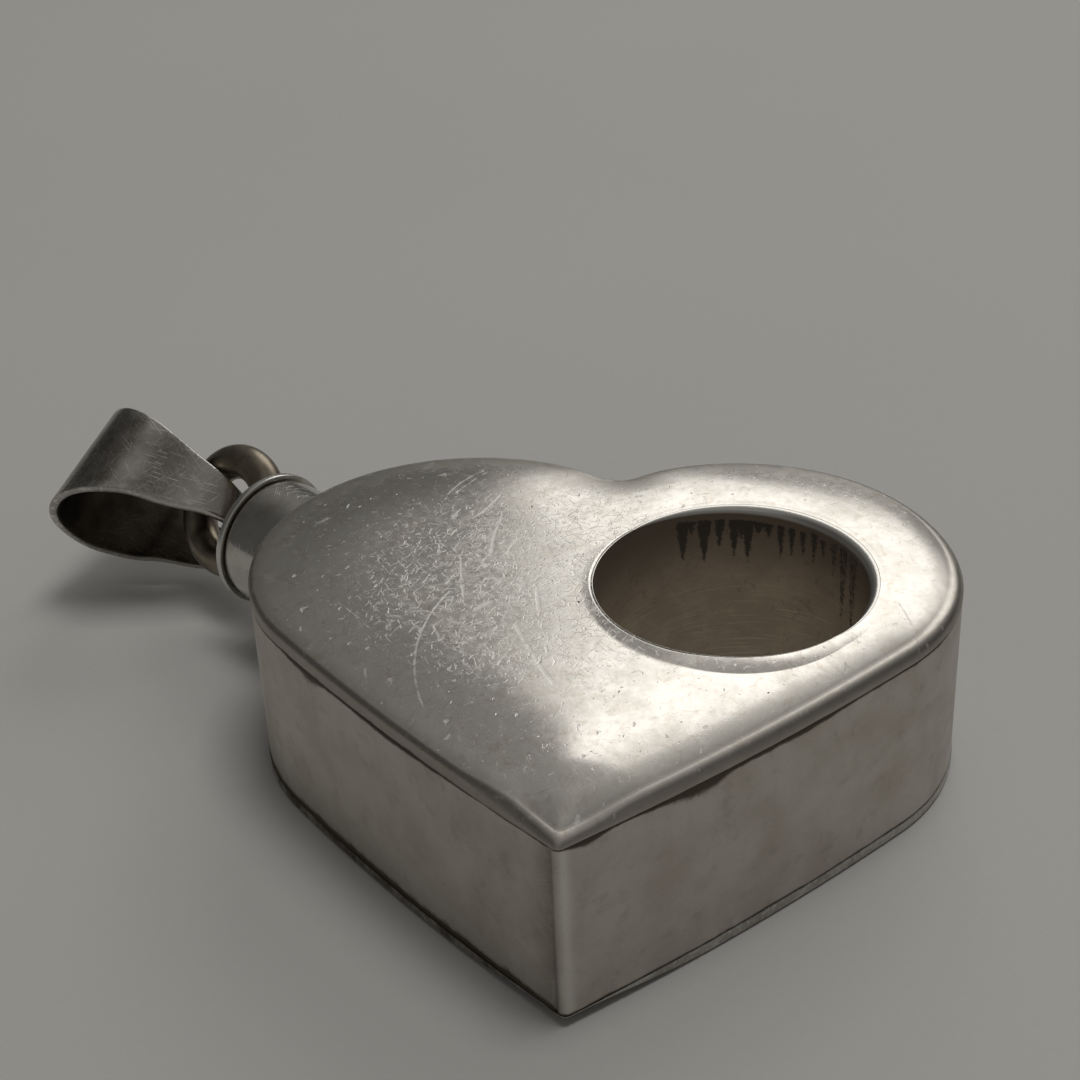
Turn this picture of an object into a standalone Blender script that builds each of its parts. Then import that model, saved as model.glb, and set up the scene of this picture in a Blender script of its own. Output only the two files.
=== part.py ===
"""Heart-shaped silver flask pendant with a through hole, a screw stopper, a ring and a bail.

The flask lies on its back: the back plate's outer face is on z = 0 and the front looks up (+Z).
The origin is on the back face under the centre of the lobe that carries the neck, and the neck
points along +Y, which is up when the pendant hangs.  Sizes are in metres.
"""
import math

import bmesh
import bpy
from mathutils import Matrix, Vector

# Heart outline: two round lobes, a filleted cleft between them and two slightly bowed sides
HEART_WIDTH = 0.0300
LOBE_RADIUS = 0.00886
TIP_REACH = 0.01811
SIDE_RADIUS = 0.1218
CLEFT_RADIUS = 0.00163

# Flask body, built from sheet
BODY_THICKNESS = 0.0095
FRONT_RIM_DEPTH = 0.0011
FRONT_CROWN = 0.00050
CROWN_RUN = 0.0045
FRONT_EDGE_RADIUS = 0.00035
FRONT_SHEET = 0.0006
BACK_SHEET = 0.0005
BAND_WALL = 0.0007
BAND_SLIT = 0.00008
SOLDER_GAP = 0.00005

# Tube that lines the through hole, placed from the middle of the heart
HOLE_RADIUS = 0.00566
HOLE_WALL = 0.0005
HOLE_X = 0.0055
HOLE_Y = -0.0019
HOLE_LIP = 0.00012

# Neck tube and the threaded bush inside it
NECK_ANGLE = math.radians(141.4)
NECK_RADIUS = 0.0030
NECK_WALL = 0.00030
NECK_LENGTH = 0.00382
NECK_TAIL = 0.0003
BUSH_SETBACK = 0.0002
BUSH_THREAD_RADIUS = 0.00245
THREAD_PITCH = 0.0008
THREAD_DEPTH = 0.00030
THREAD_CLEARANCE = 0.00011
PLUG_LENGTH = 0.0042

# Stopper disc, its sealing washer, and the ring soldered on edge to the disc
DISC_RADIUS = 0.0032
DISC_THICKNESS = 0.00045
DISC_EDGE_RADIUS = 0.00012
WASHER_THICKNESS = 0.00016
WASHER_INSET = 0.00025
RING_RADIUS = 0.0024
WIRE_RADIUS = 0.00083
RING_SINK = 0.0004
RING_LEAN = math.radians(31.3)
RING_SHIFT = 0.00028

# Bail: a tapered strip bent into a closed loop that is threaded through the ring
BAIL_LENGTH = 0.01053
BAIL_FOLD_RADIUS = 0.00352
BAIL_NARROW_RADIUS = 0.00184
BAIL_BULGE = 0.00055
BAIL_SHEET = 0.00045
BAIL_FOLD_WIDTH = 0.00567
BAIL_NARROW_WIDTH = 0.00175
BAIL_SWING = math.radians(34.8)
BAIL_TWIST = math.radians(37.2)
BAIL_SKEW = math.radians(-0.8)
BAIL_PASS = 0.004
BAIL_RISE = 0.00058
BAIL_SIDE = 0.00087

# Facets
LOBE_STEPS = 20
SIDE_STEPS = 5
CLEFT_STEPS = 5
ROUND_STEPS = 48
TUBE_STEPS = 32
EDGE_STEPS = 4
CROWN_STEPS = 4

LOBE_OFFSET = HEART_WIDTH / 2 - LOBE_RADIUS
MID_HEIGHT = BODY_THICKNESS / 2
SEAM_HEIGHT = BODY_THICKNESS - FRONT_RIM_DEPTH
NECK_END = LOBE_RADIUS + NECK_LENGTH
DISC_NEAR = NECK_END + WASHER_THICKNESS + 2 * SOLDER_GAP
DISC_FAR = DISC_NEAR + DISC_THICKNESS
HEART_TURN = math.pi / 2 - NECK_ANGLE

for old in list(bpy.data.objects):
    bpy.data.objects.remove(old, do_unlink=True)

parts = bpy.data.collections.new("heart_flask_pendant")
cutters = bpy.data.collections.new("cutters")
bpy.context.scene.collection.children.link(parts)
bpy.context.scene.collection.children.link(cutters)


def material(name, colour, roughness, metallic):
    """A Principled material for one piece."""
    mat = bpy.data.materials.new(name)
    mat.use_nodes = True
    shader = mat.node_tree.nodes["Principled BSDF"]
    shader.inputs["Base Color"].default_value = (*colour, 1.0)
    shader.inputs["Roughness"].default_value = roughness
    shader.inputs["Metallic"].default_value = metallic
    mat.diffuse_color = (*colour, 1.0)
    return mat


def add_part(name, mesh, mat, parent=None):
    """Puts a mesh in the pendant's collection under its own name."""
    piece = bpy.data.objects.new(name, mesh)
    mesh.name = name
    mesh.materials.clear()
    mesh.materials.append(mat)
    mesh.shade_smooth()
    mesh.set_sharp_from_angle(angle=math.radians(35))
    parts.objects.link(piece)
    piece.parent = parent
    return piece


def add_cutter(name, mesh, parent=None):
    """Puts a mesh among the cutters, out of the model."""
    tool = bpy.data.objects.new(name, mesh)
    cutters.objects.link(tool)
    tool.hide_render = True
    tool.display_type = "WIRE"
    tool.parent = parent
    return tool


def cut(piece, tool):
    """Subtracts a cutter from a piece."""
    boolean = piece.modifiers.new("cut_" + tool.name, "BOOLEAN")
    boolean.operation = "DIFFERENCE"
    boolean.object = tool
    return boolean


def empty(name, matrix):
    """An axis or a frame that pieces are parented to."""
    holder = bpy.data.objects.new(name, None)
    holder.empty_display_size = BODY_THICKNESS
    parts.objects.link(holder)
    holder.matrix_world = matrix
    return holder


def arc(centre, radius, start, stop, steps):
    """Points along a circular arc, both ends included."""
    turn = (stop - start) / steps
    return [(centre[0] + radius * math.cos(start + turn * i),
             centre[1] + radius * math.sin(start + turn * i)) for i in range(steps + 1)]


def heart_outline(inset):
    """The heart's outline moved inwards by inset, counter-clockwise from the cleft.

    Each half is a cleft fillet, a lobe and a bowed side that touches the lobe and ends in the tip.
    Moving the outline inwards keeps the arcs' centres and changes only their radii.
    """
    lobe = Vector((LOBE_OFFSET, 0))
    cleft_y = math.sqrt((LOBE_RADIUS + CLEFT_RADIUS) ** 2 - LOBE_OFFSET ** 2)
    tip = Vector((0, -TIP_REACH))
    # The side's centre is SIDE_RADIUS from the tip and SIDE_RADIUS - LOBE_RADIUS from the lobe's centre
    between = tip - lobe
    reach = SIDE_RADIUS - LOBE_RADIUS
    along = (between.length_squared + reach ** 2 - SIDE_RADIUS ** 2) / (2 * between.length)
    across = math.sqrt(reach ** 2 - along ** 2)
    way = between.normalized()
    side = lobe + way * along + Vector((way.y, -way.x)) * across
    touch = lobe - side
    lobe_end = math.atan2(touch.y, touch.x)
    lobe_start = math.atan2(cleft_y, -LOBE_OFFSET)
    side_radius = SIDE_RADIUS - inset
    tip_y = side.y - math.sqrt(side_radius ** 2 - side.x ** 2)
    tip_angle = math.atan2(tip_y - side.y, -side.x)
    cleft_start = -math.pi / 2
    cleft_stop = math.atan2(-cleft_y, LOBE_OFFSET)
    right = arc((0, cleft_y), CLEFT_RADIUS + inset, cleft_start, cleft_stop, CLEFT_STEPS)
    right += arc(lobe, LOBE_RADIUS - inset, lobe_start, lobe_end, LOBE_STEPS)[1:]
    right += arc(side, side_radius, lobe_end, tip_angle, SIDE_STEPS)[1:]
    left = [(-x, y) for x, y in reversed(right[1:-1])]
    return list(reversed(right + left))


def flat_mesh(name, outlines, thickness):
    """A flat sheet with the first outline as its edge and any others as holes, on z = 0 and up."""
    curve = bpy.data.curves.new(name, "CURVE")
    curve.dimensions = "2D"
    curve.fill_mode = "BOTH"
    curve.extrude = thickness / 2
    for outline in outlines:
        spline = curve.splines.new("POLY")
        spline.points.add(len(outline) - 1)
        for point, place in zip(spline.points, outline):
            point.co = (place[0], place[1], 0, 1)
        spline.use_cyclic_u = True
    guide = bpy.data.objects.new(name, curve)
    parts.objects.link(guide)
    graph = bpy.context.evaluated_depsgraph_get()
    mesh = bpy.data.meshes.new_from_object(guide.evaluated_get(graph))
    bpy.data.objects.remove(guide)
    shape = bmesh.new()
    shape.from_mesh(mesh)
    bmesh.ops.remove_doubles(shape, verts=shape.verts, dist=1e-7)
    bmesh.ops.translate(shape, verts=shape.verts, vec=(0, 0, thickness / 2))
    bmesh.ops.recalc_face_normals(shape, faces=shape.faces)
    shape.to_mesh(mesh)
    shape.free()
    return mesh


def loft_mesh(name, sections):
    """A solid through closed sections of equal count, capped at the first and the last."""
    shape = bmesh.new()
    loops = [[shape.verts.new(place) for place in section] for section in sections]
    count = len(sections[0])
    for low, high in zip(loops, loops[1:]):
        for i in range(count):
            shape.faces.new((low[i], low[(i + 1) % count], high[(i + 1) % count], high[i]))
    shape.faces.new(list(reversed(loops[0])))
    shape.faces.new(loops[-1])
    bmesh.ops.recalc_face_normals(shape, faces=shape.faces)
    mesh = bpy.data.meshes.new(name)
    shape.to_mesh(mesh)
    shape.free()
    return mesh


def turned_mesh(name, profile, steps=ROUND_STEPS, pitch=0.0, turns=1):
    """Turns an open (radius, height) profile round Z with the Screw modifier.

    The profile runs down the outer side, top to bottom.  With a pitch it climbs as it turns.
    """
    line = bpy.data.meshes.new(name)
    line.from_pydata([(radius, 0, height) for radius, height in profile],
                     [(i, i + 1) for i in range(len(profile) - 1)], [])
    guide = bpy.data.objects.new(name, line)
    parts.objects.link(guide)
    screw = guide.modifiers.new("turn", "SCREW")
    screw.axis = "Z"
    screw.angle = 2 * math.pi
    screw.steps = steps
    screw.render_steps = steps
    screw.screw_offset = pitch
    screw.iterations = turns
    screw.use_merge_vertices = True
    screw.merge_threshold = 1e-7
    graph = bpy.context.evaluated_depsgraph_get()
    mesh = bpy.data.meshes.new_from_object(guide.evaluated_get(graph))
    bpy.data.objects.remove(guide)
    shape = bmesh.new()
    shape.from_mesh(mesh)
    bmesh.ops.remove_doubles(shape, verts=shape.verts, dist=1e-7)
    bmesh.ops.recalc_face_normals(shape, faces=shape.faces)
    shape.to_mesh(mesh)
    shape.free()
    return mesh


def tube_mesh(name, inner, outer, bottom, top, steps=ROUND_STEPS):
    """A plain tube round Z."""
    return turned_mesh(name, [(inner, top), (outer, top), (outer, bottom), (inner, bottom), (inner, top)], steps)


def rod_mesh(name, radius, bottom, top, steps=ROUND_STEPS):
    """A plain cylinder round Z."""
    return turned_mesh(name, [(0, top), (radius, top), (radius, bottom), (0, bottom)], steps)


def threaded_mesh(name, root, crest, bottom, top):
    """A solid threaded rod round Z: one pitch of thread wound up past both ends, then cut square."""
    quarter = THREAD_PITCH / 4
    tooth = [(root, THREAD_PITCH), (crest, THREAD_PITCH - quarter), (crest, THREAD_PITCH - 1.6 * quarter),
             (root, THREAD_PITCH - 2.6 * quarter), (root, 0)]
    turns = math.ceil((top - bottom) / THREAD_PITCH) + 3
    mesh = turned_mesh(name, tooth, TUBE_STEPS, THREAD_PITCH, turns)
    shape = bmesh.new()
    shape.from_mesh(mesh)
    # The thread's phase is fixed to z = 0, so a rod and its bush mesh whatever their lengths
    start = math.floor(bottom / THREAD_PITCH) - 1
    bmesh.ops.translate(shape, verts=shape.verts, vec=(0, 0, start * THREAD_PITCH))
    for height, normal in ((bottom, -1), (top, 1)):
        bmesh.ops.bisect_plane(shape, geom=shape.verts[:] + shape.edges[:] + shape.faces[:], dist=1e-8,
                               plane_co=(0, 0, height), plane_no=(0, 0, normal), clear_outer=True)
        rim = [edge for edge in shape.edges if edge.is_boundary
               and all(abs(vert.co.z - height) < 1e-7 for vert in edge.verts)]
        bmesh.ops.contextual_create(shape, geom=rim)
    bmesh.ops.recalc_face_normals(shape, faces=shape.faces)
    shape.to_mesh(mesh)
    shape.free()
    return mesh


silver = ((0.62, 0.60, 0.56), 0.32, 1.0)
heart = empty("heart_frame", Matrix.Rotation(HEART_TURN, 4, "Z") @ Matrix.Translation((LOBE_OFFSET, 0, 0)))
# The neck's own frame: its Z runs along the neck (+Y) and starts over the lobe's centre
neck = empty("neck_axis", Matrix.Translation((0, 0, MID_HEIGHT)) @ Matrix.Rotation(-math.pi / 2, 4, "X"))

# Back plate: flat sheet with a hole for the liner
liner_outer = HOLE_RADIUS + HOLE_WALL
hole_circle = arc((HOLE_X, HOLE_Y), liner_outer + SOLDER_GAP, 0, -2 * math.pi, ROUND_STEPS)[:-1]
back = flat_mesh("back_plate", [heart_outline(0), hole_circle], BACK_SHEET)
add_part("back_plate", back, material("back_silver", *silver), heart)

# Side band: a strip bent round the heart, its ends meeting beside the tip, with a hole for the neck
band_bottom = BACK_SHEET + SOLDER_GAP
band_top = SEAM_HEIGHT - SOLDER_GAP
band_mesh = flat_mesh("side_band", [heart_outline(0), heart_outline(BAND_WALL)], band_top - band_bottom)
band = add_part("side_band", band_mesh, material("band_silver", (0.52, 0.50, 0.46), 0.38, 1.0), heart)
band.location.z = band_bottom
slit_mesh = flat_mesh("band_slit", [[(-BAND_SLIT, -TIP_REACH - BAND_WALL), (0, -TIP_REACH - BAND_WALL),
                                     (0, -TIP_REACH / 2), (-BAND_SLIT, -TIP_REACH / 2)]], BODY_THICKNESS)
cut(band, add_cutter("band_slit", slit_mesh, heart))
neck_hole = rod_mesh("neck_hole", NECK_RADIUS + SOLDER_GAP, LOBE_RADIUS / 2, NECK_END, ROUND_STEPS)
cut(band, add_cutter("neck_hole", neck_hole, neck))

# Front plate: a pressed dish whose rim stands on the band, rounded at the edge and gently crowned
edge_top = BODY_THICKNESS - FRONT_CROWN


def crown_height(inset):
    """Height of the front face at a distance in from the outline."""
    share = max(0.0, 1 - (inset - FRONT_EDGE_RADIUS) / (CROWN_RUN - FRONT_EDGE_RADIUS))
    return BODY_THICKNESS - FRONT_CROWN * share ** 2


outer = [(0.0, SEAM_HEIGHT)]
for i in range(EDGE_STEPS + 1):
    lean = math.pi / 2 * i / EDGE_STEPS
    outer.append((FRONT_EDGE_RADIUS * (1 - math.cos(lean)), edge_top - FRONT_EDGE_RADIUS * (1 - math.sin(lean))))
for i in range(1, CROWN_STEPS + 1):
    depth = FRONT_EDGE_RADIUS + (CROWN_RUN - FRONT_EDGE_RADIUS) * i / CROWN_STEPS
    outer.append((depth, crown_height(depth)))
inner = [(inset, height - FRONT_SHEET) for inset, height in reversed(outer) if inset > FRONT_SHEET]
inner.append((FRONT_SHEET, edge_top - FRONT_SHEET))
inner.append((FRONT_SHEET, SEAM_HEIGHT))
# The dish is one skin from the middle of its top, over the edge and back under to its middle
skin = list(reversed(outer)) + list(reversed(inner))
front_mesh = loft_mesh("front_plate", [[(x, y, z) for x, y in heart_outline(inset)] for inset, z in skin])
front = add_part("front_plate", front_mesh, material("front_silver", *silver), heart)
front_hole = rod_mesh("front_hole", liner_outer + SOLDER_GAP, MID_HEIGHT, BODY_THICKNESS * 1.5)
front_cutter = add_cutter("front_hole", front_hole, heart)
front_cutter.location = (HOLE_X, HOLE_Y, 0)
cut(front, front_cutter)

# Hole liner: a tube right through, flush with the back and standing a hair proud of the front
liner_top = BODY_THICKNESS + HOLE_LIP
lip = HOLE_WALL / 3
liner_mesh = turned_mesh("hole_liner", [
    (HOLE_RADIUS, liner_top - lip), (HOLE_RADIUS + lip, liner_top), (liner_outer - lip, liner_top),
    (liner_outer, liner_top - lip), (liner_outer, 0), (HOLE_RADIUS, 0), (HOLE_RADIUS, liner_top - lip)])
liner = add_part("hole_liner", liner_mesh, material("liner_tarnish", (0.30, 0.26, 0.21), 0.45, 1.0), heart)
liner.location = (HOLE_X, HOLE_Y, 0)

# Neck tube: soldered through the band, square at its outer end
neck_tail = LOBE_RADIUS - BAND_WALL - NECK_TAIL
neck_inner = NECK_RADIUS - NECK_WALL
tube = tube_mesh("neck_tube", neck_inner, NECK_RADIUS, neck_tail, NECK_END)
add_part("neck_tube", tube, material("neck_silver", (0.66, 0.63, 0.59), 0.22, 1.0), neck)

# Neck bush: the threaded lining of the neck, set back from its end
bush_outer = neck_inner - SOLDER_GAP
bush_top = NECK_END - BUSH_SETBACK
bush = add_part("neck_bush", tube_mesh("neck_bush", BUSH_THREAD_RADIUS - 2 * THREAD_DEPTH, bush_outer,
                                       neck_tail, bush_top),
                material("bush_silver", (0.55, 0.53, 0.49), 0.35, 1.0), neck)
bush_thread = threaded_mesh("bush_thread", BUSH_THREAD_RADIUS - THREAD_DEPTH, BUSH_THREAD_RADIUS,
                            neck_tail - THREAD_PITCH, NECK_END + THREAD_PITCH)
cut(bush, add_cutter("bush_thread", bush_thread, neck))

# Sealing washer between the neck's end and the disc
washer_bottom = NECK_END + SOLDER_GAP
washer_inner = BUSH_THREAD_RADIUS + SOLDER_GAP
washer = tube_mesh("seal_washer", washer_inner, NECK_RADIUS - WASHER_INSET / 4,
                   washer_bottom, washer_bottom + WASHER_THICKNESS)
add_part("seal_washer", washer, material("washer_dark", (0.03, 0.028, 0.025), 0.7, 0.0), neck)

# Stopper disc: the cap of the screw stopper
ease = DISC_EDGE_RADIUS
disc = turned_mesh("stopper_disc", [
    (0, DISC_FAR), (DISC_RADIUS - ease, DISC_FAR), (DISC_RADIUS, DISC_FAR - ease),
    (DISC_RADIUS, DISC_NEAR + ease), (DISC_RADIUS - ease, DISC_NEAR), (0, DISC_NEAR)])
add_part("stopper_disc", disc, material("disc_silver", (0.60, 0.58, 0.54), 0.28, 1.0), neck)

# Stopper plug: the male thread soldered under the disc
plug_top = DISC_NEAR - SOLDER_GAP
plug = threaded_mesh("stopper_plug", BUSH_THREAD_RADIUS - THREAD_DEPTH - THREAD_CLEARANCE,
                     BUSH_THREAD_RADIUS - THREAD_CLEARANCE, plug_top - PLUG_LENGTH, plug_top)
add_part("stopper_plug", plug, material("plug_silver", (0.55, 0.53, 0.49), 0.35, 1.0), neck)

# Ring: thick wire on edge, leaning over, its lowest part filed flat where it is soldered to the disc
ring_along = DISC_FAR + RING_RADIUS + WIRE_RADIUS - RING_SINK
ring_frame = (Matrix.Translation((0, ring_along, MID_HEIGHT)) @ Matrix.Rotation(RING_LEAN - math.pi / 2, 4, "Y")
              @ Matrix.Translation((RING_SHIFT, 0, 0)))
bpy.ops.mesh.primitive_torus_add(major_segments=TUBE_STEPS, minor_segments=ROUND_STEPS // 3,
                                 major_radius=RING_RADIUS, minor_radius=WIRE_RADIUS)
torus = bpy.context.active_object
ring = add_part("ring_loop", torus.data.copy(), material("ring_tarnish", (0.20, 0.17, 0.13), 0.35, 1.0))
bpy.data.objects.remove(torus)
ring.matrix_world = ring_frame
seat = rod_mesh("ring_seat", DISC_RADIUS * 2, DISC_NEAR - DISC_RADIUS, DISC_FAR + SOLDER_GAP, ROUND_STEPS)
cut(ring, add_cutter("ring_seat", seat, neck))


def bail_outline(inset):
    """The bail's loop seen along its width, moved inwards by inset: narrow end at 0, fold at +X.

    Two round ends of unlike radius are joined by sides that bulge a little between them.
    """
    narrow = BAIL_NARROW_RADIUS
    fold = BAIL_FOLD_RADIUS
    flare = math.asin((fold - narrow) / (BAIL_LENGTH - fold - narrow))
    points = []
    steps = TUBE_STEPS // 2
    points += arc((narrow, 0), narrow - inset, math.pi / 2 + flare, 3 * math.pi / 2 - flare, steps)
    turn = arc((BAIL_LENGTH - fold, 0), fold - inset, -math.pi / 2 - flare, math.pi / 2 + flare, steps)
    for i in range(1, steps):
        share = i / steps
        x = points[steps][0] + share * (turn[0][0] - points[steps][0])
        y = points[steps][1] + share * (turn[0][1] - points[steps][1])
        points.append((x, y - 4 * BAIL_BULGE * share * (1 - share)))
    points += turn
    points += [(x, -y) for x, y in reversed(points[steps + 1:2 * steps])]
    return points


# Bail: its X runs towards the fold and its Z along the strip's width.  It is turned as it lies on the
# ring's far wire, and its origin is on the ring's own axis, which it swings about
wire_up = ring_frame.to_3x3() @ Vector((1, 0, 0))
along_neck = Vector((0, 1, 0))
level = Matrix((along_neck, wire_up.cross(along_neck), wire_up)).transposed()
bail_turn = (level @ Matrix.Rotation(BAIL_SWING, 3, "Z") @ Matrix.Rotation(BAIL_SKEW, 3, "Y")
             @ Matrix.Rotation(BAIL_TWIST, 3, "X"))
bail_mesh = flat_mesh("bail", [bail_outline(0), bail_outline(BAIL_SHEET)], 2.0)
for vertex in bail_mesh.vertices:
    share = min(1.0, max(0.0, (vertex.co.x - BAIL_NARROW_RADIUS) / (BAIL_LENGTH - BAIL_NARROW_RADIUS)))
    half_width = (BAIL_NARROW_WIDTH + share * (BAIL_FOLD_WIDTH - BAIL_NARROW_WIDTH)) / 2
    vertex.co.z = (vertex.co.z - 1.0) * half_width - BAIL_SIDE
    vertex.co.x -= BAIL_PASS
    vertex.co.y -= BAIL_RISE
bail_mesh.transform(Matrix.Translation(bail_turn.inverted() @ (along_neck * RING_RADIUS)))
bail = add_part("bail", bail_mesh, material("bail_silver", (0.63, 0.61, 0.57), 0.30, 1.0))
bail.matrix_world = Matrix.Translation(ring_frame.translation) @ bail_turn.to_4x4()
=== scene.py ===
# A heart-shaped silver flask pendant, lying on its back: sheet silver soldered into a box with a tube through
# it, a screw stopper in a short neck, a wire ring on the stopper and a bail folded from strip.
from functools import reduce

import bmesh
import bpy
import numpy as np
from mathutils import Matrix, Vector


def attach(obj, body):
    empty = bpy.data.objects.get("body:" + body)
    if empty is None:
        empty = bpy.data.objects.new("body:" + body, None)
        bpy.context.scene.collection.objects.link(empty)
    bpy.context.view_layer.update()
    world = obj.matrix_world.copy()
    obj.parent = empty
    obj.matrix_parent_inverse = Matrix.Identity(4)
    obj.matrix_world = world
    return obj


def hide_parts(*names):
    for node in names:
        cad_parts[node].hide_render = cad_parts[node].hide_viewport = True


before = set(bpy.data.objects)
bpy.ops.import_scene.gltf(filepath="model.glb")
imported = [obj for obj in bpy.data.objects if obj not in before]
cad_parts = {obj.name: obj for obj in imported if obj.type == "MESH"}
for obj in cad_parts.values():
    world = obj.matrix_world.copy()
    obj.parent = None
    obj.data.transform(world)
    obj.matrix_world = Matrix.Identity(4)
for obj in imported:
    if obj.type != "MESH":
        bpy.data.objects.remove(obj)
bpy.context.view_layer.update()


# -------------------- back plate
# The sheet that closes the flask behind, sawn to the heart's outline and soldered under the band, with a hole for
# the tube.  It is all but flat and bends up to its seam at the tip; its edge shows as a thin line above the table.

MM = 0.001
LOBE_RADIUS = 8.86
LOBE_OFFSET = 6.14
TIP_REACH = 18.11
SIDE_RADIUS = 121.8
CLEFT_RADIUS = 1.63
TIP_FILLET = 0.30
HEART_TURN = np.radians(90 - 141.4)
HOLE_RADIUS = 5.66
HOLE_WALL = 0.5
HOLE_PLACE = np.array((5.48, -1.76))
SHEET_HOLE = HOLE_RADIUS + HOLE_WALL + 0.03
BACK_SHEET = 0.5
BACK_EASE = 0.07
BACK_CROWN = 0.07
BACK_DROOP = 0.38
BACK_BEND = (0.6, 7.0)
BACK_RUN = 4.0
BACK_EASE_ROWS = 5
BACK_FLAT_ROWS = 24
ARC_STEPS = (20, 190, 124)
TIP_STEPS = 27
MEAN_POWER = 5.0
FAR_OFF = 99.0


def to_part(plan):
    """Moves plan points from the middle of the heart into the part's frame: a shift, then a turn."""
    x = plan[..., 0] + LOBE_OFFSET
    y = plan[..., 1]
    cos, sin = np.cos(HEART_TURN), np.sin(HEART_TURN)
    return np.stack((x * cos - y * sin, x * sin + y * cos), -1)


def plan_length(ways):
    """How long plan vectors are."""
    return np.hypot(ways[..., 0], ways[..., 1])


def arc_rows(centre_x, centre_y, radius, start, stop, share):
    """Rows of points on circular arcs: each row goes from its start angle to its stop angle by the shares."""
    angle = start + (stop - start) * share
    return np.stack((centre_x + radius * np.cos(angle), centre_y + radius * np.sin(angle)), -1)


# The bowed side's centre is SIDE_RADIUS from the tip, and its circle touches the lobe's from outside
_way = np.array((-LOBE_OFFSET, -TIP_REACH))
_span = plan_length(_way)
_way = _way / _span
_reach = SIDE_RADIUS - LOBE_RADIUS
_along = (_span ** 2 + _reach ** 2 - SIDE_RADIUS ** 2) / (2 * _span)
SIDE_CENTRE = np.array((LOBE_OFFSET, 0)) + _way * _along + np.array((_way[1], -_way[0])) * np.sqrt(
    _reach ** 2 - _along ** 2)
CLEFT_Y = np.sqrt((LOBE_RADIUS + CLEFT_RADIUS) ** 2 - LOBE_OFFSET ** 2)
LOBE_START = np.arctan2(CLEFT_Y, -LOBE_OFFSET)
LOBE_STOP = np.arctan2(-SIDE_CENTRE[1], LOBE_OFFSET - SIDE_CENTRE[0])
CLEFT_STOP = np.arctan2(-CLEFT_Y, LOBE_OFFSET)


def heart_rows(insets):
    """Plan outlines of the heart moved in by each inset, one row each, from the cleft round and back.

    Half an outline is four arcs that touch: cleft, lobe, bowed side and tip.  Moving it in keeps the centres
    of the first three and changes their radii; the tip keeps its small fillet.  The other half is its mirror.
    """
    inset = np.asarray(insets, float).reshape(-1, 1)
    tip_y = SIDE_CENTRE[1] - np.sqrt((SIDE_RADIUS - inset - TIP_FILLET) ** 2 - SIDE_CENTRE[0] ** 2)
    tip_start = np.arctan2(tip_y - SIDE_CENTRE[1], -SIDE_CENTRE[0])
    cleft_share, lobe_share, side_share = (np.linspace(0, 1, count, endpoint=False) for count in ARC_STEPS)
    side_share = 1 - (1 - side_share) ** 1.5  # closer together towards the tip
    tip_share = np.linspace(0, 1, TIP_STEPS)
    right = np.concatenate((
        arc_rows(0, CLEFT_Y, CLEFT_RADIUS + inset, -np.pi / 2, CLEFT_STOP, cleft_share),
        arc_rows(LOBE_OFFSET, 0, LOBE_RADIUS - inset, LOBE_START, LOBE_STOP, lobe_share),
        arc_rows(SIDE_CENTRE[0], SIDE_CENTRE[1], SIDE_RADIUS - inset, LOBE_STOP, tip_start, side_share),
        arc_rows(0, tip_y, TIP_FILLET, tip_start, -np.pi / 2, tip_share)), axis=1)
    left = right[:, -2:0:-1] * (-1, 1)
    return np.concatenate((right, left), axis=1)


def wall_distance(plan):
    """How far plan points lie from the heart's outline, rounded over where its two halves are equally near.

    The distance to one half is the least of those to its cleft, lobe and side, each an arc's radius less the
    distance to its centre within the arc's sector.  The halves are joined by a power mean.
    """
    halves = []
    for mirror in (1, -1):
        x, y = plan[..., 0] * mirror, plan[..., 1]
        lobe_angle = np.arctan2(y, x - LOBE_OFFSET)
        in_lobe = (lobe_angle > LOBE_STOP) & (lobe_angle < LOBE_START)
        lobe = np.where(in_lobe, LOBE_RADIUS - np.hypot(x - LOBE_OFFSET, y), FAR_OFF)
        side_angle = np.arctan2(y - SIDE_CENTRE[1], x - SIDE_CENTRE[0])
        side = np.where(side_angle <= LOBE_STOP + 1e-3,
                        SIDE_RADIUS - np.hypot(x - SIDE_CENTRE[0], y - SIDE_CENTRE[1]), FAR_OFF)
        cleft = np.hypot(x, y - CLEFT_Y) - CLEFT_RADIUS
        halves.append(np.maximum(np.minimum(np.minimum(lobe, side), cleft), 1e-4))
    return (halves[0] ** -MEAN_POWER + halves[1] ** -MEAN_POWER) ** (-1 / MEAN_POWER)


def smooth_step(value, low, high):
    """0 below low, 1 above high and a smooth rise between them; with low over high, a fall."""
    share = np.clip((value - low) / (high - low), 0, 1)
    return share ** 2 * (3 - 2 * share)


def tip_bend(plan, near, far):
    """How far a sheet has bent over to its seam, 0 to 1: a smooth step with the distance from the tip."""
    return smooth_step(plan_length(plan + (0, TIP_REACH)), far, near)


def uneven(x, y, size, seed):
    """Hand-made unevenness, about -1 to 1: the mean of eight sine waves of that size crossing at odd angles."""
    wave = np.arange(1, 9)
    turn = 2.4 * wave + seed
    pitch = 2 * np.pi / (size * (0.7 + 0.09 * wave))
    phase = 1.7 * wave * wave + 3.1 * seed
    across = x[..., None] * np.cos(turn) + y[..., None] * np.sin(turn)
    return 1.6 * np.sin(across * pitch + phase).mean(-1)


def cell_corners(grid):
    """The four corners of each cell of a grid, in order round it."""
    return np.stack((grid[:-1, :-1], grid[:-1, 1:], grid[1:, 1:], grid[1:, :-1]), 2)


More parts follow.
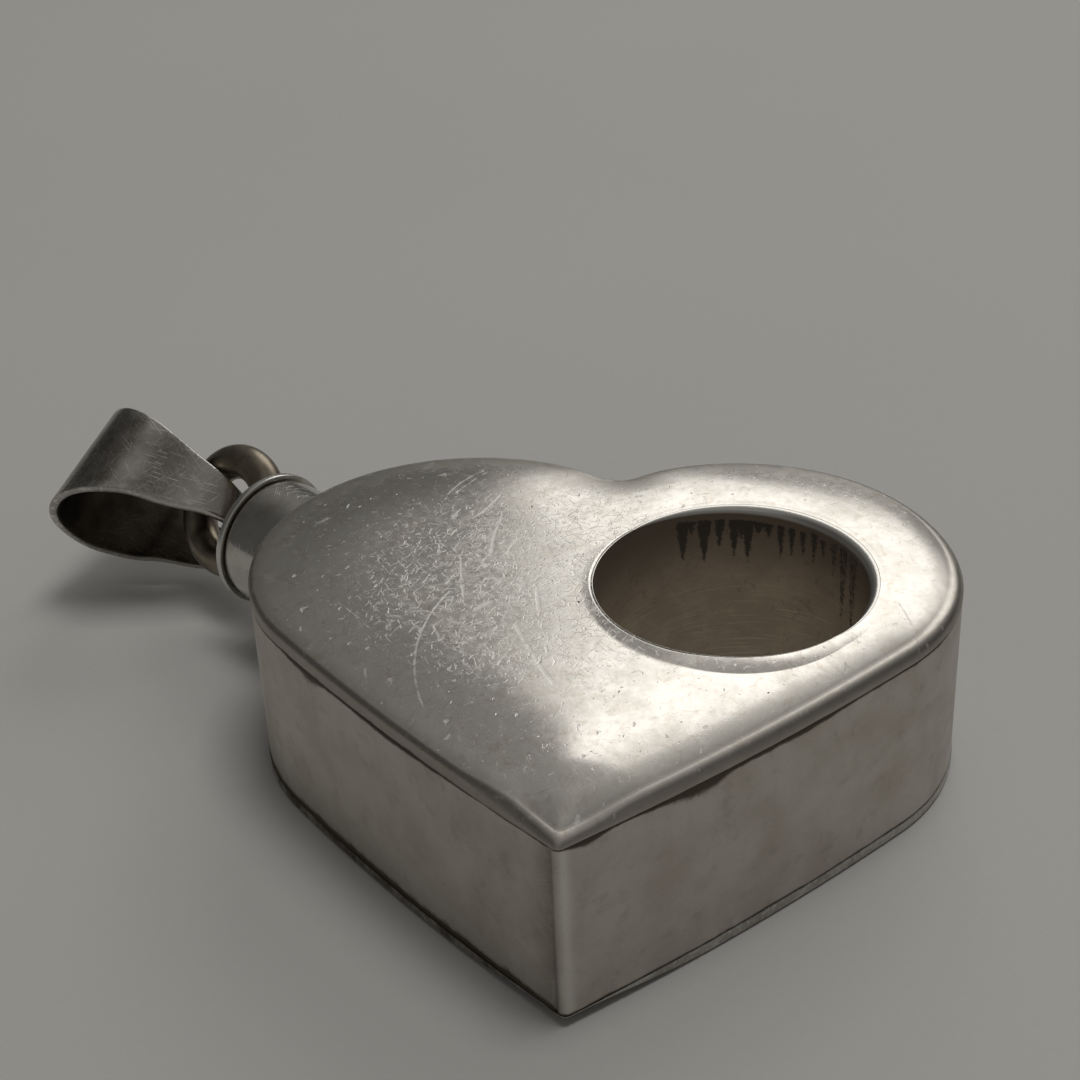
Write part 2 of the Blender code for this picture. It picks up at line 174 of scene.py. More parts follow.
def skin(name, grid, closed_rows=True, marks=None, chart=None):
    """A mesh object from a grid of points in millimetres, closed along its columns and, if asked, its rows.

    Each cell of the grid is one four-cornered face.  marks are named values at the points, and chart is a
    flat map (UV) of the grid with one row and one column more, so that it doesn't fold back at the seam.
    """
    rows, columns = grid.shape[:2]
    index = np.arange(rows * columns).reshape(rows, columns)
    index = np.concatenate((index, index[:, :1]), axis=1)
    if closed_rows:
        index = np.concatenate((index, index[:1]))
    corners = cell_corners(index).reshape(-1, 4)
    mesh = bpy.data.meshes.new(name)
    mesh.vertices.add(rows * columns)
    mesh.vertices.foreach_set("co", (grid * MM).astype(np.float32).ravel())
    mesh.loops.add(corners.size)
    mesh.loops.foreach_set("vertex_index", corners.astype(np.int32).ravel())
    mesh.polygons.add(len(corners))
    mesh.polygons.foreach_set("loop_start", np.arange(0, corners.size, 4, dtype=np.int32))
    mesh.update(calc_edges=True)
    for label, values in (marks or {}).items():
        layer = mesh.attributes.new(label, "FLOAT", "POINT")
        layer.data.foreach_set("value", np.broadcast_to(values, (rows, columns)).astype(np.float32).ravel())
    if chart is not None:
        mesh.uv_layers.new(name="chart").data.foreach_set("uv", cell_corners(chart).astype(np.float32).ravel())
    shape = bmesh.new()
    shape.from_mesh(mesh)
    bmesh.ops.remove_doubles(shape, verts=shape.verts, dist=1e-8)
    bmesh.ops.recalc_face_normals(shape, faces=shape.faces)
    shape.to_mesh(mesh)
    shape.free()
    mesh.shade_smooth()
    piece = bpy.data.objects.new(name, mesh)
    bpy.context.scene.collection.objects.link(piece)
    return piece


class Tone:
    """A socket in a material's node tree, so that shader maths reads as an expression."""

    def __init__(self, tree, socket=None):
        self.tree = tree
        self.socket = socket

    def node(self, kind, settings=None, inputs=None, output=0):
        """Adds a node: its settings first, then its sockets' values or links.  Gives back one of its outputs."""
        made = self.tree.nodes.new(kind)
        for key, value in (settings or {}).items():
            setattr(made, key, value)
        for key, value in (inputs or {}).items():
            if isinstance(value, Tone):
                self.tree.links.new(value.socket, made.inputs[key])
            else:
                made.inputs[key].default_value = value
        return Tone(self.tree, made.outputs[output])

    def maths(self, operation, *values):
        return self.node("ShaderNodeMath", {"operation": operation}, dict(enumerate(values)))

    def vectors(self, operation, *values, output=0):
        return self.node("ShaderNodeVectorMath", {"operation": operation}, dict(enumerate(values)), output)

    def distance(self, point):
        """How far these coordinates lie from a point."""
        return self.vectors("DISTANCE", self, point, output=1)

    def along(self, axis):
        """How far these coordinates lie along an axis."""
        return self.vectors("DOT_PRODUCT", self, axis, output=1)

    def __add__(self, other):
        return self.maths("ADD", self, other)

    def __sub__(self, other):
        return self.maths("SUBTRACT", self, other)

    def __rsub__(self, other):
        return self.maths("SUBTRACT", other, self)

    def __mul__(self, other):
        return self.maths("MULTIPLY", self, other)

    def __truediv__(self, other):
        return self.maths("DIVIDE", self, other)

    __radd__ = __add__
    __rmul__ = __mul__

    def max(self, other):
        return self.maths("MAXIMUM", self, other)

    def min(self, other):
        return self.maths("MINIMUM", self, other)

    def step(self, low, high):
        """0 below low, 1 above high and a smooth rise between them; with low over high, a fall."""
        return self.node("ShaderNodeMapRange", {"interpolation_type": "SMOOTHSTEP"},
                         {"Value": self, "From Min": low, "From Max": high})

    def mix(self, colour, other):
        """The first colour where this is 0 and the other where it is 1."""
        return self.node("ShaderNodeMix", {"data_type": "RGBA"}, {0: self, 6: colour, 7: other}, 2)

    def noise(self, size, detail=3.0, rough=0.55, bend=0.0):
        """Cloudy noise over these coordinates, with lumps of about that size."""
        return self.node("ShaderNodeTexNoise", None, {"Vector": self, "Scale": 1.0 / size, "Detail": detail,
                                                      "Roughness": rough, "Distortion": bend})

    def laid(self, turn, stretch, shift=(0.0, 0.0, 0.0)):
        """These coordinates turned about Z and divided by a stretch along each axis."""
        return self.node("ShaderNodeMapping", {"vector_type": "TEXTURE"},
                         {"Vector": self, "Location": shift, "Rotation": (0.0, 0.0, turn), "Scale": stretch})

    def scratches(self, turns, length, width, amount, seed):
        """Straight scratches in several directions: noise drawn out along each, kept where it is highest."""
        lines = []
        for number, turn in enumerate(turns):
            drawn = self.laid(turn, (length, width, width * 4), (seed + 3.7 * number, 1.9 * seed, 0.0))
            lines.append(drawn.noise(1.0, 0.0).step(amount, amount + 0.07))
        return reduce(Tone.max, lines)

    def warped(self, size, amount):
        """These coordinates pushed about by a soft noise of that size, so that straight lines come out bent."""
        push = self.node("ShaderNodeTexNoise", None, {"Vector": self, "Scale": 1.0 / size, "Detail": 1.0}, 1)
        push = self.vectors("SUBTRACT", push, (0.5, 0.5, 0.5))
        return self.vectors("MULTIPLY_ADD", push, (amount, amount, amount), self)


def rgba(red, green, blue):
    return (red, green, blue, 1.0)


def new_finish(piece, name):
    """Gives a piece a plain material, to be made up from its shader and its Object coordinates in millimetres."""
    material = bpy.data.materials.new(name)
    material.use_nodes = True
    piece.data.materials.append(material)
    tree = material.node_tree
    place = Tone(tree).node("ShaderNodeTexCoord", output=3)
    place = place.node("ShaderNodeVectorMath", {"operation": "SCALE"}, {0: place, "Scale": 1.0 / MM})
    return tree.nodes["Principled BSDF"], place


def feed(shader, **inputs):
    """Links tones to the shader's sockets, or sets plain values on them."""
    for key, value in inputs.items():
        socket = shader.inputs[key.replace("_", " ").title()]
        if isinstance(value, Tone):
            shader.id_data.links.new(value.socket, socket)
        else:
            socket.default_value = value


def mark(place, name):
    """A value that was worked out with the mesh."""
    return place.node("ShaderNodeAttribute", {"attribute_name": name}, output=2)


def chart_place(place):
    """The piece's own flat map, in millimetres."""
    return place.node("ShaderNodeTexCoord", output=2)


def relief(place, microns):
    """Turns a height in thousandths of a millimetre into a normal."""
    return place.node("ShaderNodeBump", None, {"Strength": 1.0, "Distance": 1e-6, "Height": microns})


SILVER = rgba(0.50, 0.485, 0.455)
SILVER_BRIGHT = rgba(0.66, 0.645, 0.61)
SILVER_DULL = rgba(0.36, 0.335, 0.30)
TARNISH_AND_SHADE = rgba(0.085, 0.068, 0.050)


def flat_rows(edge_rows, hole, count):
    """Plan rows between the innermost of the edge rows and a round hole, of one radius or one for each column.

    Each point goes straight from the outline towards the hole's centre; the heart is seen whole from there.
    """
    last = edge_rows[-1]
    away = last - HOLE_PLACE
    rim = HOLE_PLACE + np.reshape(hole, (-1, 1)) * away / plan_length(away)[:, None]
    share = np.linspace(0, 1, count + 1)[1:, None, None]
    return last + (rim - last) * share


def with_height(plan, height):
    """Plan rows in the part's frame with a height for each row or each point."""
    height = np.broadcast_to(np.asarray(height, float).reshape(len(plan), -1), plan.shape[:2])
    return np.concatenate((to_part(plan), height[..., None]), -1)


def under_height(plan):
    """Height of the back's outer face: on the table in the middle, lifted at the edge and more at the tip."""
    rise = np.clip(1 - wall_distance(plan) / BACK_RUN, 0, 1)
    return BACK_CROWN * rise ** 2 + BACK_DROOP * tip_bend(plan, *BACK_BEND)


def eased(radius, count):
    """A rounded edge in so many points: how far each lies in from the side, and how far up."""
    turn = np.linspace(0, np.pi / 2, count)
    return radius * (1 - np.sin(turn)), radius * (1 - np.cos(turn))


_back_in, _back_up = eased(BACK_EASE, BACK_EASE_ROWS)
_edge = heart_rows(np.concatenate((_back_in, _back_in[::-1])))
_edge_share = np.concatenate((_back_up, BACK_SHEET - _back_up[::-1]))[:, None] / BACK_SHEET
_edge_low = under_height(_edge[:1])
_inside = flat_rows(_edge, SHEET_HOLE, BACK_FLAT_ROWS)
_under_plan = flat_rows(_edge[:1], SHEET_HOLE, BACK_FLAT_ROWS)[::-1]
_back_grid = np.concatenate((
    with_height(_edge, _edge_low + (BACK_SHEET - _edge_low) * _edge_share),
    with_height(_inside, np.full(BACK_FLAT_ROWS, BACK_SHEET)),
    with_height(_under_plan, under_height(_under_plan))))
# Dirt thickens up the edge to the seam, and underneath it lies round the hole; along the left the edge is
# darkened further with painted shade
_back_grime_and_shade = np.concatenate((
    np.linspace(0.05, 0.2, BACK_EASE_ROWS), np.linspace(0.25, 0.75, BACK_EASE_ROWS),
    np.full(BACK_FLAT_ROWS, 0.5), np.linspace(0.4, 0.05, BACK_FLAT_ROWS)))[:, None]
_left_edge_shade = smooth_step(_edge[0, :, 0], 0.5, -0.5) * smooth_step(_edge[0, :, 1], 3.0, -4.0)
_back_grime_and_shade = _back_grime_and_shade + 0.5 * _left_edge_shade * (np.arange(len(_back_grid)) < len(_edge))[:, None]
back_plate = skin("back_sheet", _back_grid, marks={"grime_and_shade": _back_grime_and_shade})


def back_finish(piece):
    """Flat silver rubbed dull on the table: long scratches, cloudy tarnish, a darker edge at the seam and painted
    shade along the left edge.
    """
    shader, place = new_finish(piece, "worn_back_silver")
    cloud = place.noise(2.6, 6.0, 0.62).step(0.38, 0.66)
    fine = place.noise(0.16, 4.0, 0.6)
    lines = place.scratches((0.2, 0.9, 1.6, 2.3, 2.9), 5.0, 0.07, 0.66, 4.0)
    # The dark mix is seam tarnish, and along the left edge painted shade.
    grime_and_shade = (mark(place, "grime_and_shade") + (place.noise(0.7, 4.0) - 0.5) * 0.8).step(0.45, 0.95)
    colour = cloud.mix(SILVER, SILVER_DULL)
    colour = (lines * 0.5).mix(colour, SILVER_BRIGHT)
    feed(shader, base_color=grime_and_shade.mix(colour, TARNISH_AND_SHADE), metallic=1.0,
         roughness=0.28 + cloud * 0.12 + fine * 0.1 + grime_and_shade * 0.2,
         normal=relief(place, fine * 1.5 - lines * 5.0))


back_finish(back_plate)
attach(back_plate, "flask")
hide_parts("back_plate")


# -------------------- hole liner
# A tube right through the heart, soldered into both sheets and turned over a little at the front.  Its lip is
# rubbed bright; its inside is brown with tarnish, and polish has dried in it in black drips below the lip.

BODY_THICKNESS = 9.5
LIP_PROUD = 0.012
LIP_RAISE = 0.100
LIP_FLAT = 0.01
LIP_EASE = (0.03, 0.46)
LIP_EASED_SIDE = np.array((0.66, 0.75))
LIP_FALL = 0.6
LIP_UNDER = 9.0
FOOT_EASE = 0.13
TUBE_WOBBLE = 0.0012
LINER_COLUMNS = 720
EDGE_DEEP = 0.30
EDGE_REACH = np.radians(80.6)
FRONT_CROWN = 0.42
CROWN_RUN = 5.0
FRONT_DROOP = 0.26
FRONT_BEND = (0.3, 4.4)
SIDE_FALL = 0.34
SIDE_RUN = 1.65
CLEFT_SPREAD = 4.5
FACE_WAVES = 0.010
# Where round the bore each drip hangs (degrees), its length, its width at the top and how dark it is
DRIPS = np.array((
    (62.2, 2.00, 0.62, 1.0), (58.0, 0.70, 0.50, 0.8), (52.5, 2.15, 0.68, 1.0), (45.6, 1.45, 0.50, 1.0),
    (39.2, 1.95, 0.52, 1.0), (36.2, 1.00, 0.60, 0.9), (33.2, 2.20, 0.55, 1.0), (28.5, 0.70, 0.70, 0.8),
    (24.0, 0.85, 0.60, 0.8), (18.4, 1.75, 0.46, 0.9), (13.1, 1.55, 0.42, 0.85), (7.6, 1.35, 0.44, 0.8),
    (1.8, 1.55, 0.44, 0.75), (-3.2, 1.30, 0.46, 0.7), (-9.5, 1.6, 0.60, 0.62), (-16.0, 4.0, 0.70, 0.60),
    (-24.0, 4.6, 0.80, 0.60)))
DRIP_TOP = 0.62
DRIP_BLUR = 0.24

_edge_end = EDGE_DEEP * (1 - np.cos(EDGE_REACH))


def bell(value, middle, width):
    """1 at the middle and falling away on both sides: e to the minus square of the distance over the width."""
    return np.exp(-((value - middle) / width) ** 2)


def crown_height(plan):
    """Height of the front face: level in the middle, a parabola down to the edge, and bent down to the tip.

    Beside the cleft the parabola is shorter and less deep, and on the right side a second one falls to the edge.
    """
    inset = wall_distance(plan)
    cleft = bell(plan_length(plan - (0, CLEFT_Y)), 0, CLEFT_SPREAD)
    run = CROWN_RUN * (1 - 0.6 * cleft)
    rise = np.clip(1 - (inset - _edge_end) / (run - _edge_end), 0, 1)
    level = np.clip((inset - 0.8) / 2.0, 0, 1)
    waves = FACE_WAVES * uneven(plan[..., 0], plan[..., 1], 9.0, 5.0) - FACE_WAVES
    on_right = smooth_step(plan[..., 0], -2.0, 1.0) * smooth_step(plan[..., 1], 8.0, 2.0)
    fall = SIDE_FALL * on_right * np.clip(1 - inset / SIDE_RUN, 0, 1) ** 2
    bend = FRONT_DROOP * tip_bend(plan, *FRONT_BEND)
    return BODY_THICKNESS - FRONT_CROWN * (1 - 0.5 * cleft) * rise ** 2 - fall - bend + waves * level


def lip_ease(away):
    """Radius of the lip's rounding in each level direction: small, and larger on the hole's right and far side."""
    return LIP_EASE[0] + LIP_EASE[1] * np.clip(away @ LIP_EASED_SIDE, 0, 1) ** 0.75


def lip_radius(away):
    """Radius at which the lip meets the face, in each level direction."""
    return HOLE_RADIUS + lip_ease(away) + LIP_FLAT


def tipward(away):
    """How far a level direction points to the tip: 1 straight to it, half across it and 0 straight away."""
    return np.clip(0.5 - 0.5 * away[..., 1], 0, 1)


def lip_height(away):
    """Height of the tube's lip in each level direction: just proud of the face, and more on the tip's side."""
    rim = HOLE_PLACE + lip_radius(away)[..., None] * away
    return crown_height(rim) + LIP_PROUD + LIP_RAISE * tipward(away) ** 4


def quarter(centre, radius, start, stop, count=7):
    """Points on a small arc that eases an edge of a profile, by angles in quarter turns."""
    angle = np.linspace(start, stop, count) * np.pi / 2
    return np.stack((centre[0] + radius * np.cos(angle), centre[1] + radius * np.sin(angle)), -1)


def full_turn(count):
    """Angles that go evenly round once, with the last a step short of the first."""
    return np.linspace(0, 2 * np.pi, count, endpoint=False)


def flat_chart(lengths, heights):
    """A flat map of a grid: lengths round it, up to its first column once more, and heights that wrap."""
    return np.stack(np.broadcast_arrays(lengths, np.pad(heights, ((0, 1), (0, 1)), "wrap")), -1)


_outer_radius = HOLE_RADIUS + HOLE_WALL
_round_hole = full_turn(LINER_COLUMNS)
_lip_way = np.stack((np.cos(_round_hole - HEART_TURN), np.sin(_round_hole - HEART_TURN)), -1)
_lip_z, _lip_ease = lip_height(_lip_way), lip_ease(_lip_way)
_over = np.linspace(0, np.pi / 2, 10)[:, None]
_down_tube = np.array((8.6, 7.4, 5.0, 2.5, 0.06))[:, None]
_tube_foot = np.concatenate((
    np.array(((_outer_radius - 0.03, 0.01), (_outer_radius - 0.08, 0.0))),
    quarter((HOLE_RADIUS + FOOT_EASE, FOOT_EASE), FOOT_EASE, 3.0, 2.0)))
_up_bore = np.linspace(0.03, 1, 56)[:, None]
# The tube's profile as radius, height and share of the bore's tarnish: over the lip, back under it, down the
# outside, round the foot and up the bore
_liner_runs = (
    (HOLE_RADIUS + _lip_ease * (1 - np.cos(_over)), _lip_z - LIP_FALL * _lip_ease * (1 - np.sin(_over)),
     np.clip(1 - 1.5 * np.sin(_over), 0, 1)),
    (lip_radius(_lip_way), np.stack((_lip_z, np.full(LINER_COLUMNS, LIP_UNDER))), 0),
    (_outer_radius, _down_tube, 0),
    (_tube_foot[:, :1], _tube_foot[:, 1:], 0),
    (HOLE_RADIUS, FOOT_EASE + (_lip_z - LIP_FALL * _lip_ease - FOOT_EASE - 0.03) * _up_bore, 1))
_liner_radius, _liner_z, _bore = np.concatenate(
    [np.broadcast_arrays(*run, _round_hole[None, :])[:3] for run in _liner_runs], axis=1)
_liner_grid = np.stack((_liner_radius * np.cos(_round_hole), _liner_radius * np.sin(_round_hole), _liner_z), -1)
_wobble = uneven(_liner_grid[..., 0], _liner_grid[..., 1] + 2 * _liner_grid[..., 2], 5.0, 1.0)
_liner_grid[..., :2] *= (1 + TUBE_WOBBLE * _wobble)[..., None]
_liner_grid[..., :2] += to_part(HOLE_PLACE)
_depth = BODY_THICKNESS + 0.1 - _liner_z
# A drip is widest at its top and narrows to a point at its length
_aside = (np.degrees(_round_hole)[:, None] - DRIPS[:, 0] + 180) % 360 - 180
_beside = np.radians(np.abs(_aside)) * HOLE_RADIUS
_down = (_depth[..., None] - DRIP_TOP) / DRIPS[:, 1]
_half = DRIPS[:, 2] / 2 * np.clip(1 - _down, 0, 1) ** 0.75 * (_down > -0.02)
_drip = np.clip((_half - _beside) / DRIP_BLUR + 0.5, 0, 1) * (_half > 0) * DRIPS[:, 3]
hole_liner = skin("hole_tube", _liner_grid,
                  chart=flat_chart(np.linspace(0, 2 * np.pi * HOLE_RADIUS, LINER_COLUMNS + 1), _depth),
                  marks={"depth": _depth, "bore": _bore, "drip": _drip.max(-1) * _bore})


def liner_finish(piece):
    """Brown tarnish in the bore, black drips hanging from under the lip, faint file marks and a bright lip."""
    shader, place = new_finish(piece, "tarnished_liner")
    chart = chart_place(place)
    depth = mark(place, "depth")
    bore = mark(place, "bore")
    cloud = place.noise(1.6, 5.0, 0.6)
    fine = place.noise(0.15, 3.0)
    rubs = place.noise(0.5, 4.0, 0.6, 1.0)
    files = chart.laid(0.10, (2.6, 0.11, 1.0)).noise(1.0, 3.0)
    low = depth.step(1.2, 5.0)
    drips = (mark(place, "drip") + (fine - 0.5) * 1.1 + (rubs - 0.5) * 0.5).step(0.34, 0.74) * bore
    brown = cloud.step(0.35, 0.7).mix(rgba(0.50, 0.425, 0.335), rgba(0.62, 0.535, 0.425))
    brown = (files.step(0.50, 0.72) * low * 0.65).mix(brown, rgba(0.80, 0.70, 0.57))
    brown = (rubs.step(0.55, 0.70) * 0.55).mix(brown, rgba(0.33, 0.275, 0.215))
    brown = depth.step(4.4, 0.3).mix(brown, rgba(0.20, 0.165, 0.13))
    colour = bore.mix(SILVER, brown)
    feed(shader, base_color=(drips * 0.85).mix(colour, rgba(0.030, 0.024, 0.018)),
         metallic=1.0 - bore * 0.55 - drips * 0.4, roughness=0.20 + bore * (0.24 + cloud * 0.12) + drips * 0.2,
         normal=relief(place, fine * 2.0 + files * bore * 5.0 + rubs * bore * 4.0 + drips * 4.0))


liner_finish(hole_liner)
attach(hole_liner, "flask")
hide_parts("hole_liner")


# -------------------- side band
# One strip of sheet bent round the heart on edge, satin from the file and the buff.  Its ends meet just left of
# the tip in a soldered joint that has gone dark, as have the seams above and below.  Along the left its foot is
# darkened further with painted shade, and the rounded corner just right of the tip carries a painted highlight.

BAND_WALL = 0.7
BAND_BOTTOM = 0.515
BAND_TOP = 8.385
BAND_EASE = 0.045
BAND_DENT = 0.022
JOINT_FROM_TIP = 0.42
JOINT_DENT = 0.05
NECK_RADIUS = 3.0
NECK_GAP = 0.04
MID_HEIGHT = BODY_THICKNESS / 2
# Where each stain under the front seam is along the band from the tip, its width and how far it has crept down
SEAM_STAINS = ((-6.4, 1.5, 0.62), (-1.2, 0.55, 0.34), (-11.5, 2.4, 0.22), (15.2, 1.3, 0.50), (9.0, 3.0, 0.16))


def round_lengths(loop):
    """Lengths from a closed line's first point round to each of its points, and to the first once more."""
    return np.concatenate(((0.0,), np.cumsum(plan_length(np.roll(loop, -1, 0) - loop))))


def fade(distance, reach):
    """1 at no distance and falling away: e to the minus distance over the reach."""
    return np.exp(-distance / reach)


_band_in, _band_up = eased(BAND_EASE, 6)
_wall_z = np.linspace(BAND_BOTTOM + BAND_EASE, BAND_TOP - BAND_EASE, 34)[1:-1]
_lining_z = np.linspace(BAND_TOP - 0.02, BAND_BOTTOM + 0.02, 6)
_outer_inset = np.concatenate((_band_in, 0 * _wall_z, _band_in[::-1]))
_band_inset = np.concatenate((_outer_inset, np.full(len(_lining_z), BAND_WALL)))
_band_z = np.concatenate((BAND_BOTTOM + _band_up, _wall_z, BAND_TOP - _band_up[::-1], _lining_z))[:, None]
_loop = heart_rows([0.0])[0]
_length = round_lengths(_loop)
_from_tip = _length[:-1] - _length[len(_loop) // 2]
_from_joint = _from_tip - JOINT_FROM_TIP
_outward = np.roll(_loop, -1, 0) - np.roll(_loop, 1, 0)
_outward = np.stack((-_outward[:, 1], _outward[:, 0]), -1) / plan_length(_outward)[:, None]
_is_outer = (np.arange(len(_band_inset)) < len(_outer_inset))[:, None]
_dents = BAND_DENT * uneven(_from_tip, _band_z, 7.0, 2.0) - BAND_DENT - JOINT_DENT * bell(_from_joint, 0, 0.10)
_band_plan = heart_rows(_band_inset) + _outward * (_dents * _is_outer)[..., None]
# How far the stains have crept from place to place along the band down from the front seam, and how far the
# darkening reaches up from the back's seam: a thin line all round, and painted shade along the left side
_creep_down = sum((depth * bell(_from_tip, middle, width) for middle, width, depth in SEAM_STAINS), 0.07)
_creep_up_and_shade = 0.08 + 0.37 * smooth_step(_from_tip, 0.3, 0.7) * smooth_step(_from_tip, 32.0, 22.0)
_seam_stain_and_shade = np.maximum(fade(BAND_TOP - _band_z, _creep_down), fade(_band_z - BAND_BOTTOM, _creep_up_and_shade))
_joint_grime = fade(np.abs(_from_joint), np.where(_from_joint > 0, 0.55, 0.16))
# The seam mark holds stains and, at the foot on the left, painted shade; the bell just right of the tip is a painted
# highlight on the rounded corner.
_band_raw = skin("side_strip", with_height(_band_plan, _band_z),
                 chart=flat_chart(_length, np.broadcast_to(_band_z, _band_plan.shape[:2])),
                 marks={"grime_and_shade": _seam_stain_and_shade, "joint": _joint_grime, "wear_and_highlight": bell(_from_tip, -0.22, 0.26)})


def bored(piece, radius, start, stop):
    """The piece with a round hole drilled along the neck's axis, from start to stop along Y."""
    angle = full_turn(96)
    ring = np.stack((radius * np.cos(angle), 0 * angle, MID_HEIGHT + radius * np.sin(angle)), -1)
    ends = np.stack((ring * 0 + (0, start, MID_HEIGHT), ring + (0, start, 0), ring + (0, stop, 0),
                     ring * 0 + (0, stop, MID_HEIGHT)))
    drill = skin("drill", ends, closed_rows=False)
    boolean = piece.modifiers.new("bore", "BOOLEAN")
    boolean.operation = "DIFFERENCE"
    boolean.object = drill
    graph = bpy.context.evaluated_depsgraph_get()
    drilled = bpy.data.meshes.new_from_object(piece.evaluated_get(graph))
    piece.modifiers.clear()
    piece.data = drilled
    bpy.data.objects.remove(drill)
    return piece


side_band = bored(_band_raw, NECK_RADIUS + NECK_GAP, 4.0, 12.0)


def band_finish(piece):
    """Satin silver with faint lines along the strip and brown clouds, and dark stains creeping out of the seams;
    painted shade darkens the foot on the left, and a painted highlight lies on the tip's corner.
    """
    shader, place = new_finish(piece, "satin_band_silver")
    chart = chart_place(place)
    cloud = place.noise(2.6, 5.0, 0.6).step(0.34, 0.68)
    spots = place.noise(0.8, 5.0, 0.62).step(0.52, 0.74)
    pits = place.noise(0.22, 2.0).step(0.74, 0.80)
    fine = place.noise(0.12, 3.0)
    along = chart.laid(0.0, (2.4, 0.06, 1.0)).noise(1.0, 3.0)
    lines = chart.warped(2.0, 0.5).scratches((0.1, 0.6, 2.7), 1.8, 0.06, 0.73, 1.0)
    creep = place.noise(0.9, 5.0, 0.62) - 0.5
    # Dark stains at the seams, and painted shade along the foot on the left side.
    grime_and_shade = (mark(place, "grime_and_shade") + creep * 0.55).step(0.34, 0.66)
    joint = (mark(place, "joint") * (0.75 + creep * 0.9)).min(1.0)
    # A painted highlight on the rounded corner just right of the tip.
    wear_and_highlight = mark(place, "wear_and_highlight") * (1 - grime_and_shade)
    colour = cloud.mix(rgba(0.55, 0.515, 0.47), rgba(0.47, 0.428, 0.38))
    colour = (joint * 0.85).mix(colour, rgba(0.15, 0.122, 0.096))
    colour = (spots * 0.26 + pits * 0.4).min(1.0).mix(colour, rgba(0.22, 0.185, 0.15))
    colour = (wear_and_highlight * 0.8 + lines * 0.2).min(1.0).mix(colour, SILVER_BRIGHT)
    feed(shader, base_color=grime_and_shade.mix(colour, rgba(0.105, 0.085, 0.066)), metallic=1.0,
         roughness=0.36 + cloud * 0.05 + fine * 0.06 + grime_and_shade * 0.15 - wear_and_highlight * 0.14,
         normal=relief(place, fine * 0.45 + along * 0.6 - lines * 1.2 - pits * 2.0))


side_band.data.materials.clear()
band_finish(side_band)
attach(side_band, "flask")
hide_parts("side_band")


# -------------------- front plate
# A sheet pressed into a shallow dish: its edge is turned down onto the band, and its face is gently crowned and
# falls away to the tip.  At the hole solder carries it up to the tube's lip, most of all on the tip's side.  Years
# of wear have left it bright, clouded and covered in fine scratches and small nicks.

SEAM_HEIGHT = 8.40
SKIRT_EASE = 0.035
SKIRT_SHARE = 0.60
SKIRT_SHARE_WIDE = 0.12
EDGE_WIDE = 0.62
FRONT_SHEET = 0.6
SOLDER_NARROW = 0.35
SOLDER_WIDE = 0.9
LIP_STEP = 0.004
LIP_GAP = 0.003
RIM_WIDTH = 1.6
WORN_PLACE = (0.3, -3.9, 9.5)


def face_height(plan):
    """Height of the front face with the solder that carries it straight up to the tube's lip, widest tipwards."""
    height = crown_height(plan)
    away = plan - HOLE_PLACE
    reach = np.maximum(plan_length(away), 1e-6)
    away = away / reach[..., None]
    run = SOLDER_NARROW + (SOLDER_WIDE - SOLDER_NARROW) * tipward(away) ** 5
    slope = np.clip(1 - (reach - lip_radius(away)) / run, 0, 1)
    return height + (lip_height(away) - LIP_STEP - height) * slope


_skirt = quarter((SKIRT_EASE, SEAM_HEIGHT + SKIRT_EASE), SKIRT_EASE, 3.0, 2.0, 5)
_bend = np.linspace(0, EDGE_REACH, 22)
_rim_inset = np.concatenate((_skirt[:, 0], EDGE_DEEP * (1 - np.cos(_bend))))
_wide_inset = np.concatenate((_skirt[:, 0], EDGE_WIDE * (1 - np.cos(_bend))))
_wide_end = EDGE_WIDE * (1 - np.cos(EDGE_REACH))
# The edge is turned over wide from the tip along the right side, and tight along the left
_turned_wide = np.where(
    _from_tip > 0, smooth_step(_from_tip, 5.5, 2.0), 1 - 0.7 * smooth_step(-_from_tip, 30.0, 40.0))


def edge_rows(insets, wide_insets):
    """Outlines moved in by the tight edge's insets or the wide edge's, whichever the place along the edge has."""
    tight = heart_rows(insets)
    return tight + (heart_rows(wide_insets) - tight) * _turned_wide[:, None]


_rim_plan = edge_rows(_rim_inset, _wide_inset)
_rim_top = face_height(_rim_plan[-1:])
_skirt_share = SKIRT_SHARE + (SKIRT_SHARE_WIDE - SKIRT_SHARE) * _turned_wide
_edge_start = SEAM_HEIGHT + SKIRT_EASE + _skirt_share * (_rim_top - SEAM_HEIGHT - SKIRT_EASE)
_rim_z = np.concatenate((np.broadcast_to(_skirt[:, 1:], (len(_skirt), len(_loop))),
                         _edge_start + (_rim_top - _edge_start) * (np.sin(_bend) / np.sin(EDGE_REACH))[:, None]))
_crown_plan = edge_rows(np.linspace(_edge_end, RIM_WIDTH, 10)[1:], np.linspace(_wide_end, RIM_WIDTH, 10)[1:])
_hole_way = _crown_plan[-1] - HOLE_PLACE
_hole_way = _hole_way / plan_length(_hole_way)[:, None]
_hole_edge = lip_radius(_hole_way) + LIP_GAP
_upper_plan = np.concatenate((_crown_plan, flat_rows(_crown_plan, _hole_edge, 84)))
_upper_z = face_height(_upper_plan)
_inner_plan = flat_rows(heart_rows([FRONT_SHEET]), _hole_edge, 14)[::-1]
_inner_z = np.minimum(crown_height(_inner_plan) - FRONT_SHEET, BODY_THICKNESS - 1.0)
_skirt_plan = heart_rows([FRONT_SHEET, FRONT_SHEET])
_skirt_z = np.broadcast_to(np.array(((8.6,), (SEAM_HEIGHT + 0.02,))), _skirt_plan.shape[:2])
_front_plan = np.concatenate((_rim_plan, _upper_plan, _inner_plan, _skirt_plan))
_front_z = np.concatenate((_rim_z, _upper_z, _inner_z, _skirt_z))
_hidden = np.zeros((len(_inner_plan) + len(_skirt_plan), len(_loop)))
